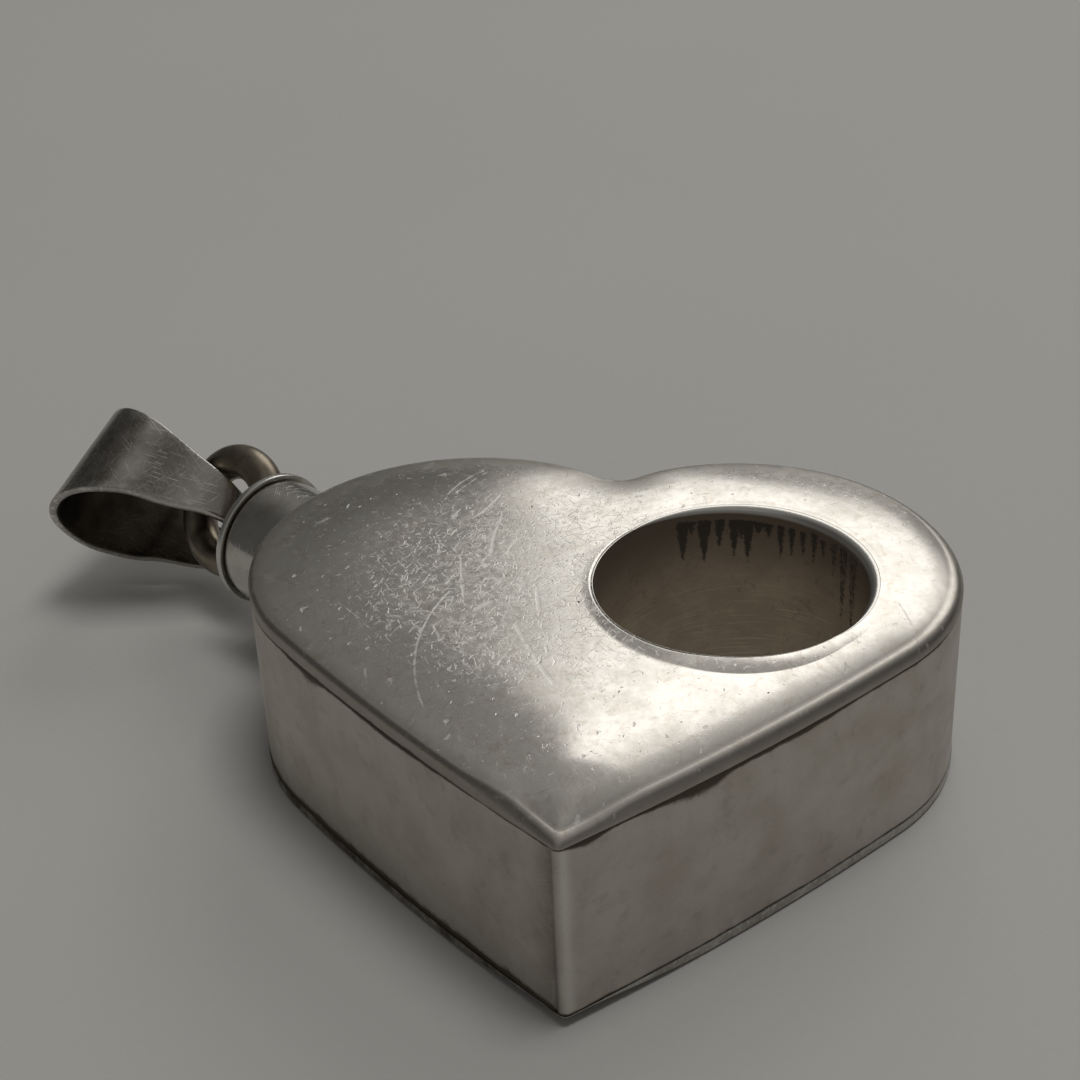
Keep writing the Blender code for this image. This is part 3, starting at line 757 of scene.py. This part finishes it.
_front_grime = np.concatenate((fade(_rim_z - SEAM_HEIGHT, 0.07), 0 * _upper_z, _hidden + 0.6))
_front_edge = np.concatenate((wall_distance(_rim_plan), wall_distance(_upper_plan), _hidden + 2.0))
# A thin painted highlight along the far edge, on the rounding just inside the outline.
_far_edge_highlight = smooth_step(np.abs(_from_tip), 24.0, 31.0) * bell(_front_edge, 0.16, 0.11)
front_plate = skin("front_dish", with_height(_front_plan, _front_z),
                   marks={"grime_and_shade": _front_grime, "inset": _front_edge, "far_edge_highlight": _far_edge_highlight})

# The scratches that stand out: where each starts and ends, how far it bows to its left, and its width
STROKES = ((-2.24, -2.11, -8.45, -7.25, -0.86, 0.11), (2.85, 3.68, 5.54, 4.26, 0.14, 0.10),
           (3.11, 3.50, 5.75, 4.02, 0.05, 0.08), (2.47, 1.36, 4.57, 1.97, -0.08, 0.13),
           (-0.40, -0.69, -2.43, -3.03, -0.02, 0.12), (-2.28, -5.85, -4.29, -10.09, -0.06, 0.20),
           (0.24, -4.57, -1.15, -6.14, -0.02, 0.18), (0.71, -1.35, 3.13, 0.48, 0.08, 0.16),
           (-4.54, -3.41, -5.01, -4.39, 0.0, 0.13), (-2.83, -3.92, -1.72, -3.94, -0.03, 0.26),
           (-5.89, 0.87, -6.18, -1.02, 0.02, 0.08), (-8.06, -3.37, -8.53, -3.96, -0.02, 0.12),
           (1.13, -1.95, 2.77, -1.37, 0.19, 0.12), (2.00, -1.85, 1.60, -2.61, 0.0, 0.10))


def stroke(place, start_x, start_y, end_x, end_y, bow, width):
    """One bowed scratch: 1 near a circle through both ends, between planes across them, and 0 elsewhere."""
    start, end = np.array((start_x, start_y)), np.array((end_x, end_y))
    span = plan_length(end - start)
    along = (end - start) / span
    side = np.array((-along[1], along[0]))
    bow = bow if abs(bow) > 0.01 else 0.01
    radius = span ** 2 / (8 * abs(bow)) + abs(bow) / 2
    centre = (start + end) / 2 + side * (bow - np.sign(bow) * radius)
    flat = place.vectors("MULTIPLY", place, (1.0, 1.0, 0.0))
    gap = flat.distance((*centre, 0.0)) - radius
    near = gap.maths("ABSOLUTE", gap).step(width * 0.62, width * 0.12)
    far = flat.along((*along, 0.0))
    first = float(start @ along)
    return near * far.step(first - 0.05, first + 0.25) * far.step(first + span + 0.05, first + span - 0.35)


def front_finish(piece):
    """Worn silver: brown clouds, bent scratches in all directions, small bright nicks, stains at the seam, and a
    thin painted highlight along the far edge.

    A scratch is rougher than the polish round it, so it catches the light from wherever that stands.
    """
    shader, place = new_finish(piece, "worn_front_silver")
    cloud = place.noise(1.8, 6.0, 0.62).step(0.36, 0.68)
    mottle = place.noise(0.45, 5.0, 0.62)
    fine = place.noise(0.10, 3.0)
    worn = place.distance(WORN_PLACE).step(10.0, 2.0)
    zone = (place.noise(3.2, 3.0) - 0.5) * 0.6 + worn
    flecks = (place.noise(0.42, 2.0, 0.5, 1.6) + zone * 0.07).step(0.665, 0.735)
    specks = (place.noise(0.20, 2.0, 0.5, 1.0) + zone * 0.06).step(0.67, 0.75)
    cuts = place.warped(0.9, 0.7).scratches((0.4, 1.4, 2.5), 0.75, 0.085, 0.70, 5.0) * zone.step(0.05, 0.6)
    hair = place.warped(3.0, 1.2).scratches((0.3, 1.2, 2.7), 1.4, 0.045, 0.71, 2.0)
    nicks = place.warped(0.5, 0.3).laid(0.6, (0.42, 0.26, 0.5)).noise(1.0, 0.0).step(0.80, 0.84)
    pits = place.noise(0.34, 1.0).step(0.80, 0.82)
    haze = (mottle + zone * 0.12).step(0.50, 0.78)
    inset = mark(place, "inset")
    skirt = inset.step(0.10, 0.02)
    dulled = inset.step(2.8, 0.3)
    far_edge_highlight = mark(place, "far_edge_highlight")
    long = reduce(Tone.max, [stroke(place, *numbers) for numbers in STROKES]) * mottle.step(0.30, 0.56) * 0.8
    grime_and_shade = (mark(place, "grime_and_shade") + (place.noise(1.2, 4.0) - 0.5) * 0.5).step(0.46, 0.80)
    marks = (hair * 0.16 + haze * 0.22 + flecks * 0.7 + specks * 0.5 + cuts * 0.55 + nicks + long).min(1.0)
    brown = place.noise(0.60, 5.0, 0.62, 1.4).step(0.48, 0.72)
    colour = cloud.mix(rgba(0.555, 0.535, 0.50), rgba(0.50, 0.475, 0.435))
    colour = (brown * 0.50).mix(colour, rgba(0.39, 0.335, 0.27))
    colour = (marks * 0.75).mix(colour, rgba(0.80, 0.785, 0.75))
    colour = (inset.step(0.9, 0.1) * 0.5 + skirt * 0.2).mix(colour, rgba(0.31, 0.277, 0.235))
    # A thin painted highlight along the far edge.
    colour = far_edge_highlight.mix(colour, SILVER_BRIGHT)
    colour = pits.mix(colour, rgba(0.10, 0.08, 0.065))
    feed(shader, base_color=grime_and_shade.mix(colour, TARNISH_AND_SHADE), metallic=1.0,
         roughness=(0.13 + cloud * 0.05 + mottle * 0.06 + marks * 0.26 + grime_and_shade * 0.2 + pits * 0.3 + skirt * 0.12
                    + dulled * 0.15),
         normal=relief(place, fine * 0.35 + mottle * 2.4 - flecks * 1.6 - cuts * 2.5 - nicks * 5.0 - long * 2.0))


front_finish(front_plate)
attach(front_plate, "flask")
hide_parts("front_plate")


# -------------------- neck tube
# A short drawn tube let into the round of the lobe, with a small fillet of solder where it meets the band.
# It is the best polished part, and mirrors the room in bands.

NECK_WALL = 0.30
NECK_TAIL = 7.9
NECK_END = 12.92
SOLDER_RUN = 0.34
SOLDER_RISE = 0.26
NECK_EASE = 0.04

_angle = full_turn(192)


def along_neck(radius, along):
    """Points round the neck's axis from a radius and a place along Y, each a number, a column or a full grid."""
    radius, along, turn = np.broadcast_arrays(radius, along, _angle[None, :])
    return np.stack((radius * np.cos(turn), along, MID_HEIGHT + radius * np.sin(turn)), -1)


def turned(profile):
    """A profile of radii and places along Y, turned round the neck's axis."""
    return along_neck(profile[:, :1], profile[:, 1:])


_run = np.linspace(0, 1, 9)[:, None]
_solder_radius = NECK_RADIUS + SOLDER_RISE * (1 - _run) ** 2.4
_solder_along = np.sqrt(LOBE_RADIUS ** 2 - (_solder_radius * np.cos(_angle)) ** 2) - 0.05 + SOLDER_RUN * _run
_clear_along = _solder_along[-1:] + (NECK_END - NECK_EASE - _solder_along[-1:]) * np.linspace(0, 1, 10)[1:, None]
_mouth = quarter((NECK_RADIUS - NECK_EASE, NECK_END - NECK_EASE), NECK_EASE, 0.0, 1.0, 6)[1:]
_neck_grid = np.concatenate((
    along_neck(NECK_RADIUS - 0.01, NECK_TAIL),
    along_neck(NECK_RADIUS - 0.01, _solder_along[:1] - 0.12),
    along_neck(_solder_radius, _solder_along),
    along_neck(NECK_RADIUS, _clear_along),
    turned(_mouth),
    along_neck(NECK_RADIUS - NECK_WALL, np.array(((NECK_END,), (NECK_END - 0.4,), (10.0,), (NECK_TAIL,))))))
_neck_along = _neck_grid[..., 1]
_neck_chart = flat_chart(np.linspace(0, 2 * np.pi * NECK_RADIUS, len(_angle) + 1), _neck_along)
_from_wall = _neck_along - np.sqrt(LOBE_RADIUS ** 2 - _neck_grid[..., 0] ** 2)
_neck_grime = np.maximum(fade(np.abs(_from_wall), 0.16), fade(np.abs(NECK_END - _neck_along), 0.07))
neck_tube = skin("neck_collar", _neck_grid, chart=_neck_chart, marks={"grime_and_shade": _neck_grime})


def neck_finish(piece):
    """Polished silver with faint drawing lines round it, a few brown spots, and dark solder at its foot."""
    shader, place = new_finish(piece, "polished_neck_silver")
    chart = chart_place(place)
    cloud = place.noise(1.2, 4.0).step(0.42, 0.75)
    fine = place.noise(0.12, 3.0)
    drawn = chart.laid(0.0, (2.0, 0.05, 1.0)).noise(1.0, 2.0)
    spots = place.noise(0.35, 3.0).step(0.66, 0.76)
    lines = chart.scratches((0.1, 0.8, 2.4), 1.4, 0.05, 0.71, 5.0)
    grime_and_shade = (mark(place, "grime_and_shade") + (place.noise(0.6, 3.0) - 0.5) * 0.7).step(0.48, 0.9)
    colour = cloud.mix(rgba(0.56, 0.54, 0.51), rgba(0.45, 0.42, 0.38))
    colour = (spots * 0.5).mix(colour, rgba(0.22, 0.18, 0.14))
    feed(shader, base_color=grime_and_shade.mix(colour, TARNISH_AND_SHADE), metallic=1.0,
         roughness=0.10 + cloud * 0.07 + fine * 0.06 + grime_and_shade * 0.25,
         normal=relief(place, fine * 0.5 + drawn * 0.7 - lines * 1.6))


neck_finish(neck_tube)
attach(neck_tube, "flask")
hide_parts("neck_tube")


# -------------------- neck bush
# The threaded lining soldered into the neck, seen only when the stopper is out.  The thread was cut with a tap
# and is left as it came from the tool.

THREAD_PITCH = 0.8
THREAD_DEPTH = 0.30
THREAD_RADIUS = 2.45
BUSH_START = NECK_TAIL + 0.02
BUSH_END = 12.48
BUSH_RADIUS = NECK_RADIUS - NECK_WALL - 0.03

_cuts = np.linspace(0, 1, 90)[:, None]


def thread_profile(along):
    """Height of the thread, 0 to 1, round the axis and along it: a flat-topped wave that climbs as it turns."""
    turns = along / THREAD_PITCH - _angle[None, :] / (2 * np.pi)
    return np.clip(1.1 - 2.9 * np.abs((turns % 1.0) - 0.5), 0, 1)


_bush_along = BUSH_START + (BUSH_END - BUSH_START) * _cuts
_bush_bore = THREAD_RADIUS - THREAD_DEPTH + THREAD_DEPTH * thread_profile(_bush_along)
neck_bush = skin("neck_lining", np.concatenate((
    along_neck(_bush_bore, _bush_along), along_neck(BUSH_RADIUS, np.array(((BUSH_END,), (BUSH_START,)))))))


def cut_finish(piece, name, seed):
    """Silver straight from a screw-cutting tool: bright crests, dark roots and fine lines round the axis."""
    shader, place = new_finish(piece, name)
    cloud = place.noise(0.5, 4.0).step(0.4, 0.7)
    lines = place.laid(0.0, (0.8, 0.05, 0.8), (seed, 0.0, 0.0)).noise(1.0, 2.0)
    colour = cloud.mix(rgba(0.50, 0.48, 0.45), rgba(0.26, 0.225, 0.18))
    feed(shader, base_color=colour, metallic=1.0, roughness=0.28 + cloud * 0.14 + lines * 0.08,
         normal=relief(place, lines * 3.0))


cut_finish(neck_bush, "tapped_bush_silver", 1.0)
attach(neck_bush, "flask")
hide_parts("neck_bush")


# -------------------- seal washer
# A thin washer that the stopper is screwed down on, nearly black with age.  Only its edge shows, as a dark line
# between the neck and the cap.

WASHER_NEAR = 12.935
WASHER_FAR = 13.005
WASHER_OUTER = 2.95
WASHER_INNER = 2.5
WASHER_EASE = 0.03

_washer_profile = np.concatenate((
    quarter((WASHER_OUTER - WASHER_EASE, WASHER_FAR - WASHER_EASE), WASHER_EASE, 1.0, 0.0, 4),
    quarter((WASHER_OUTER - WASHER_EASE, WASHER_NEAR + WASHER_EASE), WASHER_EASE, 0.0, -1.0, 4),
    np.array(((WASHER_INNER, WASHER_NEAR), (WASHER_INNER, WASHER_FAR)))))
seal_washer = skin("stopper_washer", turned(_washer_profile))


def washer_finish(piece):
    """Old dark washer, dry and a little mottled."""
    shader, place = new_finish(piece, "dark_washer")
    cloud = place.noise(0.4, 4.0)
    feed(shader, base_color=cloud.mix(rgba(0.016, 0.014, 0.012), rgba(0.04, 0.034, 0.028)), metallic=0.0,
         roughness=0.65 + cloud * 0.2, normal=relief(place, cloud * 12.0))


washer_finish(seal_washer)
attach(seal_washer, "seal")
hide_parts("seal_washer")


# -------------------- stopper disc
# The round cap of the screw stopper, cut from sheet and eased at its edge.  Handling keeps the edge bright; the
# face has brown clouds.

DISC_RADIUS = 3.2
DISC_NEAR = 13.02
DISC_FAR = 13.39
DISC_EASE = 0.09

_disc_profile = np.concatenate((
    np.stack((np.linspace(0, DISC_RADIUS - DISC_EASE, 12)[:-1], np.full(11, DISC_FAR)), -1),
    quarter((DISC_RADIUS - DISC_EASE, DISC_FAR - DISC_EASE), DISC_EASE, 1.0, 0.0, 6),
    quarter((DISC_RADIUS - DISC_EASE, DISC_NEAR + DISC_EASE), DISC_EASE, 0.0, -1.0, 6),
    np.stack((np.linspace(DISC_RADIUS - DISC_EASE, 0, 8)[1:], np.full(7, DISC_NEAR)), -1)))
stopper_disc = skin("stopper_cap", turned(_disc_profile), closed_rows=False,
                    marks={"wear_and_highlight": fade(np.abs(_disc_profile[:, :1] - DISC_RADIUS), 0.1)})


def disc_finish(piece):
    """Silver with brown clouds on its face, and rubbed bright at its edge."""
    shader, place = new_finish(piece, "worn_disc_silver")
    cloud = place.noise(0.9, 5.0, 0.6).step(0.36, 0.68)
    fine = place.noise(0.12, 3.0)
    wear_and_highlight = mark(place, "wear_and_highlight")
    lines = place.laid(0.4, (1.6, 1.0, 0.05)).noise(1.0, 0.0).step(0.68, 0.75)
    stain = (1 - wear_and_highlight) * cloud
    colour = stain.mix(SILVER, rgba(0.22, 0.185, 0.145))
    feed(shader, base_color=(wear_and_highlight * 0.8).mix(colour, SILVER_BRIGHT), metallic=1.0,
         roughness=0.2 + stain * 0.18 + fine * 0.08, normal=relief(place, fine * 0.9 - lines * 2.5))


disc_finish(stopper_disc)
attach(stopper_disc, "stopper")
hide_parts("stopper_disc")


# -------------------- stopper plug
# The screw under the cap that closes the neck: a short rod with the same thread as the bush, a little smaller.
# It is hidden until the stopper comes out.

PLUG_FREE = 8.69
PLUG_END = DISC_NEAR - 0.05
PLUG_CLEARANCE = 0.11

_plug_along = PLUG_FREE + (PLUG_END - PLUG_FREE) * _cuts
_plug_radius = THREAD_RADIUS - THREAD_DEPTH - PLUG_CLEARANCE + THREAD_DEPTH * thread_profile(_plug_along)
stopper_plug = skin("stopper_screw", np.concatenate((
    along_neck(0, PLUG_FREE), along_neck(_plug_radius, _plug_along), along_neck(0, PLUG_END))), closed_rows=False)
cut_finish(stopper_plug, "cut_plug_silver", 6.0)
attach(stopper_plug, "stopper")
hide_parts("stopper_plug")


# -------------------- ring
# Thick wire bent into a ring and soldered on edge to the cap, leaning to one side.  It is the darkest part,
# brown all over, with a bright bead of solder at its foot.

RING_RADIUS = 2.4
WIRE_RADIUS = 0.83
RING_LEAN = np.radians(31.3)
RING_SHIFT = 0.28
RING_ALONG = DISC_FAR + RING_RADIUS + WIRE_RADIUS - 0.4
RING_SEAT = DISC_FAR + 0.03
FOOT_FLARE = 0.22
FOOT_REACH = 0.30
WIRE_UNEVEN = 0.012

_wire_up = np.array((np.sin(RING_LEAN), 0, np.cos(RING_LEAN)))
_ring_axis = np.array((-np.cos(RING_LEAN), 0, np.sin(RING_LEAN)))
_neckward = np.array((0.0, 1.0, 0.0))
_ring_centre = np.array((0, RING_ALONG, MID_HEIGHT)) + RING_SHIFT * _wire_up
# Round the ring from its foot, and round the wire; at the foot solder makes the wire wider
_u = full_turn(220)[:, None]
_v = full_turn(72)[None, :]
_over_foot = np.maximum(RING_ALONG - RING_RADIUS * np.cos(_u) - WIRE_RADIUS - RING_SEAT + 0.45, 0)
_wire = WIRE_RADIUS * (1 + WIRE_UNEVEN * uneven(3 * np.cos(_u), 3 * np.sin(_u) + np.sin(_v), 2.0, 3.0))
_wire = _wire + FOOT_FLARE * fade(_over_foot, FOOT_REACH) * np.abs(np.sin(_v)) ** 0.7
_spoke = -np.cos(_u)[..., None] * _neckward + np.sin(_u)[..., None] * _wire_up
_ring_grid = _ring_centre + (RING_RADIUS + _wire * np.cos(_v))[..., None] * _spoke + (
    _wire * np.sin(_v))[..., None] * _ring_axis
_ring_grid[..., 1] = np.maximum(_ring_grid[..., 1], RING_SEAT)
ring_loop = skin("wire_ring", _ring_grid, marks={"solder": fade(_ring_grid[..., 1] - RING_SEAT, 0.35)})


def ring_finish(piece):
    """Dark brown tarnish on smooth wire, lighter where it is rubbed, with bright solder at the foot."""
    shader, place = new_finish(piece, "tarnished_ring_silver")
    cloud = place.noise(0.9, 5.0, 0.6).step(0.34, 0.7)
    fine = place.noise(0.1, 3.0)
    bead = (mark(place, "solder") + (place.noise(0.5, 3.0) - 0.5) * 0.9).step(0.55, 0.8)
    colour = cloud.mix(rgba(0.215, 0.182, 0.138), rgba(0.30, 0.262, 0.205))
    feed(shader, base_color=bead.mix(colour, rgba(0.58, 0.56, 0.52)), metallic=1.0,
         roughness=0.26 + cloud * 0.1 + fine * 0.1 - bead * 0.1, normal=relief(place, fine * 1.6 + bead * 5.0))


ring_finish(ring_loop)
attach(ring_loop, "stopper")
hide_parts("ring_loop")


# -------------------- bail
# A strip of sheet that tapers to its narrow end, folded over into a loop through the ring and closed behind.
# Its face is brushed, with painted light towards the ring and painted shade towards the fold; its edges are
# rounded by the chain and worn bright with painted glints in spots, and its inside is dark tarnish deepened with
# painted shade.

BAIL_LENGTH = 10.53
BAIL_FOLD_RADIUS = 3.52
BAIL_NARROW_RADIUS = 1.835
# How far each leaf bulges, and the power that moves its bulge to the narrow end
BAIL_UPPER = (0.45, 0.65)
BAIL_LOWER = (0.75, 0.80)
BAIL_SHEET = 0.45
BAIL_FOLD_WIDTH = 5.67
BAIL_NARROW_WIDTH = 1.75
BAIL_SWING = np.radians(34.8)
BAIL_TWIST = np.radians(37.2)
BAIL_SKEW = np.radians(-0.8)
BAIL_PASS = 4.0
BAIL_RISE = 0.58
BAIL_SIDE = 0.87
BAIL_EASE = 0.12
BAIL_SHEAR = 0.60
BAIL_FAR_EXTRA = 0.25
BAIL_UNEVEN = 0.03


def bail_loops(insets):
    """The loop seen along its width, moved in by each inset: a narrow round end, a wide round fold, and sides
    that are straight but for a bulge shaped like a squared sine."""
    inset = np.asarray(insets, float).reshape(-1, 1)
    span = BAIL_LENGTH - BAIL_FOLD_RADIUS - BAIL_NARROW_RADIUS
    reach = np.pi / 2 + np.arcsin((BAIL_FOLD_RADIUS - BAIL_NARROW_RADIUS) / span)
    share = np.linspace(0, 1, 91)[None, :]
    narrow = arc_rows(BAIL_NARROW_RADIUS, 0, BAIL_NARROW_RADIUS - inset, reach, 2 * np.pi - reach, share)
    fold = arc_rows(BAIL_LENGTH - BAIL_FOLD_RADIUS, 0, BAIL_FOLD_RADIUS - inset, -reach, reach, share)
    share = np.linspace(0, 1, 72)[1:-1][None, :, None]
    side = narrow[:, -1:] + (fold[:, :1] - narrow[:, -1:]) * share
    upper, lower = (side - bulge * np.sin(np.pi * share ** power) ** 2 * (0, 1)
                    for bulge, power in (BAIL_UPPER, BAIL_LOWER))
    return np.concatenate((narrow, lower, fold, upper[:, ::-1] * (1, -1)), axis=1)


_face, _zero, _one = np.linspace(-1, 1, 13), np.zeros(13), np.ones(3)
_corner = np.linspace(0, np.pi / 2, 5)[1:-1]
_sine, _cosine = BAIL_EASE * np.sin(_corner), BAIL_EASE * np.cos(_corner)
_fall, _lift = BAIL_EASE - _cosine, BAIL_EASE - _sine
# The strip's section: out along the outer face, round the edge, back along the inner face and round again
_section_share = np.concatenate((_face, _one, _one, _face[::-1], -_one, -_one))[:, None]
_section_extra = np.concatenate((_zero, _sine, _cosine, _zero, -_sine, -_cosine))[:, None]
_section_inset = np.concatenate((
    _zero, _fall, BAIL_SHEET - _lift, _zero + BAIL_SHEET, BAIL_SHEET - _fall, _lift))[:, None]
_loops = bail_loops(_section_inset)
_taper = np.clip((_loops[..., 0] - BAIL_NARROW_RADIUS) / (BAIL_LENGTH - BAIL_NARROW_RADIUS), 0, 1)
_half_width = (BAIL_NARROW_WIDTH + _taper * (BAIL_FOLD_WIDTH - BAIL_NARROW_WIDTH)) / 2
_half_width = _half_width - BAIL_UNEVEN + BAIL_UNEVEN * uneven(
    _loops[..., 0], _loops[..., 1] + 3 * np.sign(_section_share), 2.5, 4.0)
_even = _section_share * (_half_width - BAIL_EASE) + _section_extra
# The strip is wider on its far side, and the fold runs a little askew: the loop is shorter along its far edge
_across = _even + BAIL_FAR_EXTRA / 2 * _taper * (1 + _section_share)
_askew = BAIL_SHEAR * _taper ** 2 * (0.5 + _across / BAIL_FOLD_WIDTH)
_bail_local = np.stack((_loops[..., 0] - _askew - BAIL_PASS, _loops[..., 1] - BAIL_RISE, _across - BAIL_SIDE), -1)
_level = Matrix(np.stack((_neckward, np.cross(_wire_up, _neckward), _wire_up), 1).tolist())
_bail_turn = np.array(_level @ Matrix.Rotation(BAIL_SWING, 3, "Z") @ Matrix.Rotation(BAIL_SKEW, 3, "Y")
                      @ Matrix.Rotation(BAIL_TWIST, 3, "X"))
_bail_grid = _ring_centre + RING_RADIUS * _neckward + _bail_local @ _bail_turn.T
_edge_gap = np.maximum(_half_width - np.abs(_even), 0)
# The fold mark sets painted shade towards the fold; the inside mark picks out the inner face, whose tarnish is
# deepened with painted shade.
bail = skin("folded_bail", _bail_grid, chart=flat_chart(round_lengths(_loops[0]), _across),
            marks={"wear_and_highlight": fade(_edge_gap, 0.22), "inside": _section_inset > BAIL_SHEET - 0.06, "fold": _taper})


def bail_finish(piece):
    """Brushed silver with brown clouds, painted shade towards the fold and painted light towards the ring, bright
    worn edges with painted glints and nicks, and a dark inside of tarnish deepened with painted shade.
    """
    shader, place = new_finish(piece, "brushed_bail_silver")
    chart = chart_place(place)
    cloud = place.noise(1.4, 5.0, 0.62).step(0.36, 0.68)
    fine = place.noise(0.12, 3.0)
    brushed = chart.laid(1.35, (1.3, 0.05, 1.0)).noise(1.0, 2.0)
    lines = chart.scratches((0.2, 1.1, 1.8, 2.6), 1.3, 0.06, 0.69, 3.0)
    inside = mark(place, "inside")
    fold = mark(place, "fold")
    chips = place.noise(0.32, 3.0).step(0.5, 0.66)
    # Bright worn edges, with painted glints where the chips are.
    wear_and_highlight = mark(place, "wear_and_highlight") * (1 - inside) * (0.45 + chips * 0.55)
    # Painted shade towards the fold and painted light towards the ring.
    colour = (cloud * 0.25 + fold * 0.9).min(1.0).mix(rgba(0.68, 0.64, 0.585), rgba(0.16, 0.143, 0.122))
    colour = (wear_and_highlight + lines * 0.4).min(1.0).mix(colour, SILVER_BRIGHT)
    # The inside: dark tarnish deepened with painted shade.
    colour = inside.mix(colour, cloud.mix(rgba(0.05, 0.042, 0.032), rgba(0.09, 0.075, 0.058)))
    feed(shader, base_color=colour, metallic=1.0,
         roughness=0.19 + cloud * 0.06 + brushed * 0.06 - wear_and_highlight * 0.04 + inside * 0.16,
         normal=relief(place, fine * 0.8 + brushed * 2.0 - lines * 3.0 - wear_and_highlight * chips * 6.0))


bail_finish(bail)
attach(bail, "bail")
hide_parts("bail")


# -------------------- table and light
# Plain grey card under the pendant, a dim room all round, and one wide soft window behind it on the right.  A lamp
# overhead casts the soft shadows, and the metal doesn't mirror it.

FLOOR_DROP = 0.00002
FLOOR_HALF = 1.5
FLOOR_CORNERS = ((-1, -1), (1, -1), (1, 1), (-1, 1))

floor_mesh = bpy.data.meshes.new("card")
floor_mesh.from_pydata([(x * FLOOR_HALF, y * FLOOR_HALF, -FLOOR_DROP) for x, y in FLOOR_CORNERS], [], [(0, 1, 2, 3)])
floor = bpy.data.objects.new("card", floor_mesh)
bpy.context.scene.collection.objects.link(floor)


def card_finish(piece):
    """Matt grey card with a faint tooth."""
    shader, place = new_finish(piece, "grey_card")
    tooth = place.noise(0.35, 4.0, 0.6)
    drift = place.noise(40.0, 2.0)
    colour = (tooth * 0.5 + drift * 0.5).mix(rgba(0.45, 0.445, 0.43), rgba(0.50, 0.494, 0.478))
    feed(shader, base_color=colour, metallic=0.0, roughness=0.85, normal=relief(place, tooth * 14.0))
    shader.inputs["Specular IOR Level"].default_value = 0.2


card_finish(floor)

CAMERA_HEADING = np.radians(46.392)
ROOM_NEAR = rgba(0.080, 0.079, 0.077)
ROOM_FAR = rgba(0.50, 0.492, 0.477)
ROOM_BEARING = CAMERA_HEADING - np.radians(25)
ROOM_RISE = np.radians(50)
ROOM_AXIS = (np.cos(ROOM_BEARING) * np.cos(ROOM_RISE), np.sin(ROOM_BEARING) * np.cos(ROOM_RISE), np.sin(ROOM_RISE))
VIEW_AXIS = (np.cos(CAMERA_HEADING), np.sin(CAMERA_HEADING), 0.0)
CEILING_SHARE = 0.6
BEHIND_SHARE = 0.30
LIGHT_COLOUR = (1.0, 0.985, 0.95)
WINDOW_DISTANCE = 0.5
WINDOW_BEARING = 23.4
WINDOW_HALF = np.radians(22.5)
WINDOW_RISE = np.radians((23.0, 49.3))
WINDOW_RADIANCE = 1.72
LAMP_SIDE = 0.22
LAMP_BEARING = 92.0
LAMP_ASIDE = 0.110
LAMP_HEIGHT = 0.6
LAMP_RADIANCE = 7.4

world = bpy.data.worlds.new("room")
bpy.context.scene.world = world
world.use_nodes = True
_look = Tone(world.node_tree).node("ShaderNodeTexCoord")
_glow = ((_look.along(ROOM_AXIS) - 0.4) / 0.6).max(0.0)
_ceiling = _look.along((0.0, 0.0, 1.0)).step(0.88, 1.0)
_behind = _look.along(VIEW_AXIS).step(0.1, -0.5)
_room = (_glow * _glow * _glow * _glow).max(_ceiling * CEILING_SHARE).max(_behind * BEHIND_SHARE)
_room = _room.mix(ROOM_NEAR, ROOM_FAR)
world.node_tree.links.new(_room.socket, world.node_tree.nodes["Background"].inputs["Color"])


def soft_light(name, size, place, turn, radiance, mirrored=True):
    """A flat panel that shines evenly from one side; the metal may or may not mirror it."""
    light = bpy.data.lights.new(name, "AREA")
    light.shape = "RECTANGLE"
    light.size, light.size_y = size
    light.energy = radiance * np.pi * size[0] * size[1]
    light.color = LIGHT_COLOUR
    panel = bpy.data.objects.new(name, light)
    bpy.context.scene.collection.objects.link(panel)
    panel.location = place
    panel.rotation_euler = turn
    panel.visible_glossy = mirrored


def to_right(degrees):
    """The level direction that lies so far right of the camera's view."""
    bearing = CAMERA_HEADING - np.radians(degrees)
    return Vector((np.cos(bearing), np.sin(bearing), 0.0))


_sill, _head = WINDOW_DISTANCE * np.tan(WINDOW_RISE)
_window_way = to_right(WINDOW_BEARING)
soft_light("window", (2 * WINDOW_DISTANCE * np.tan(WINDOW_HALF), _head - _sill),
           _window_way * WINDOW_DISTANCE + Vector((0, 0, (_sill + _head) / 2)),
           _window_way.to_track_quat("Z", "Y").to_euler(), WINDOW_RADIANCE)
soft_light("ceiling_lamp", (LAMP_SIDE, LAMP_SIDE), to_right(LAMP_BEARING) * LAMP_ASIDE + Vector((0, 0, LAMP_HEIGHT)),
           (0, 0, CAMERA_HEADING), LAMP_RADIANCE, mirrored=False)


# -------------------- camera
# Held low over the table in front of the heart's tip, turned a little out of level.  Its focal length is measured
# in the picture's own pixels.

CAMERA_PLACE = (-0.0502992, -0.0579307, 0.0565655)
CAMERA_PITCH = np.radians(31.398)
CAMERA_ROLL = -0.046
FOCAL_PIXELS = 2128
PICTURE_PIXELS = 1080

camera = bpy.data.cameras.new("camera")
camera.sensor_width = 36.0
camera.lens = FOCAL_PIXELS / PICTURE_PIXELS * camera.sensor_width
camera.clip_start = 0.001
camera_object = bpy.data.objects.new("camera", camera)
bpy.context.scene.collection.objects.link(camera_object)
camera_object.matrix_world = (Matrix.Translation(CAMERA_PLACE)
                              @ Matrix.Rotation(CAMERA_HEADING - np.pi / 2, 4, "Z")
                              @ Matrix.Rotation(np.pi / 2 - CAMERA_PITCH, 4, "X")
                              @ Matrix.Rotation(CAMERA_ROLL, 4, "Z"))
bpy.context.scene.camera = camera_object
bpy.context.scene.view_settings.view_transform = "Standard"
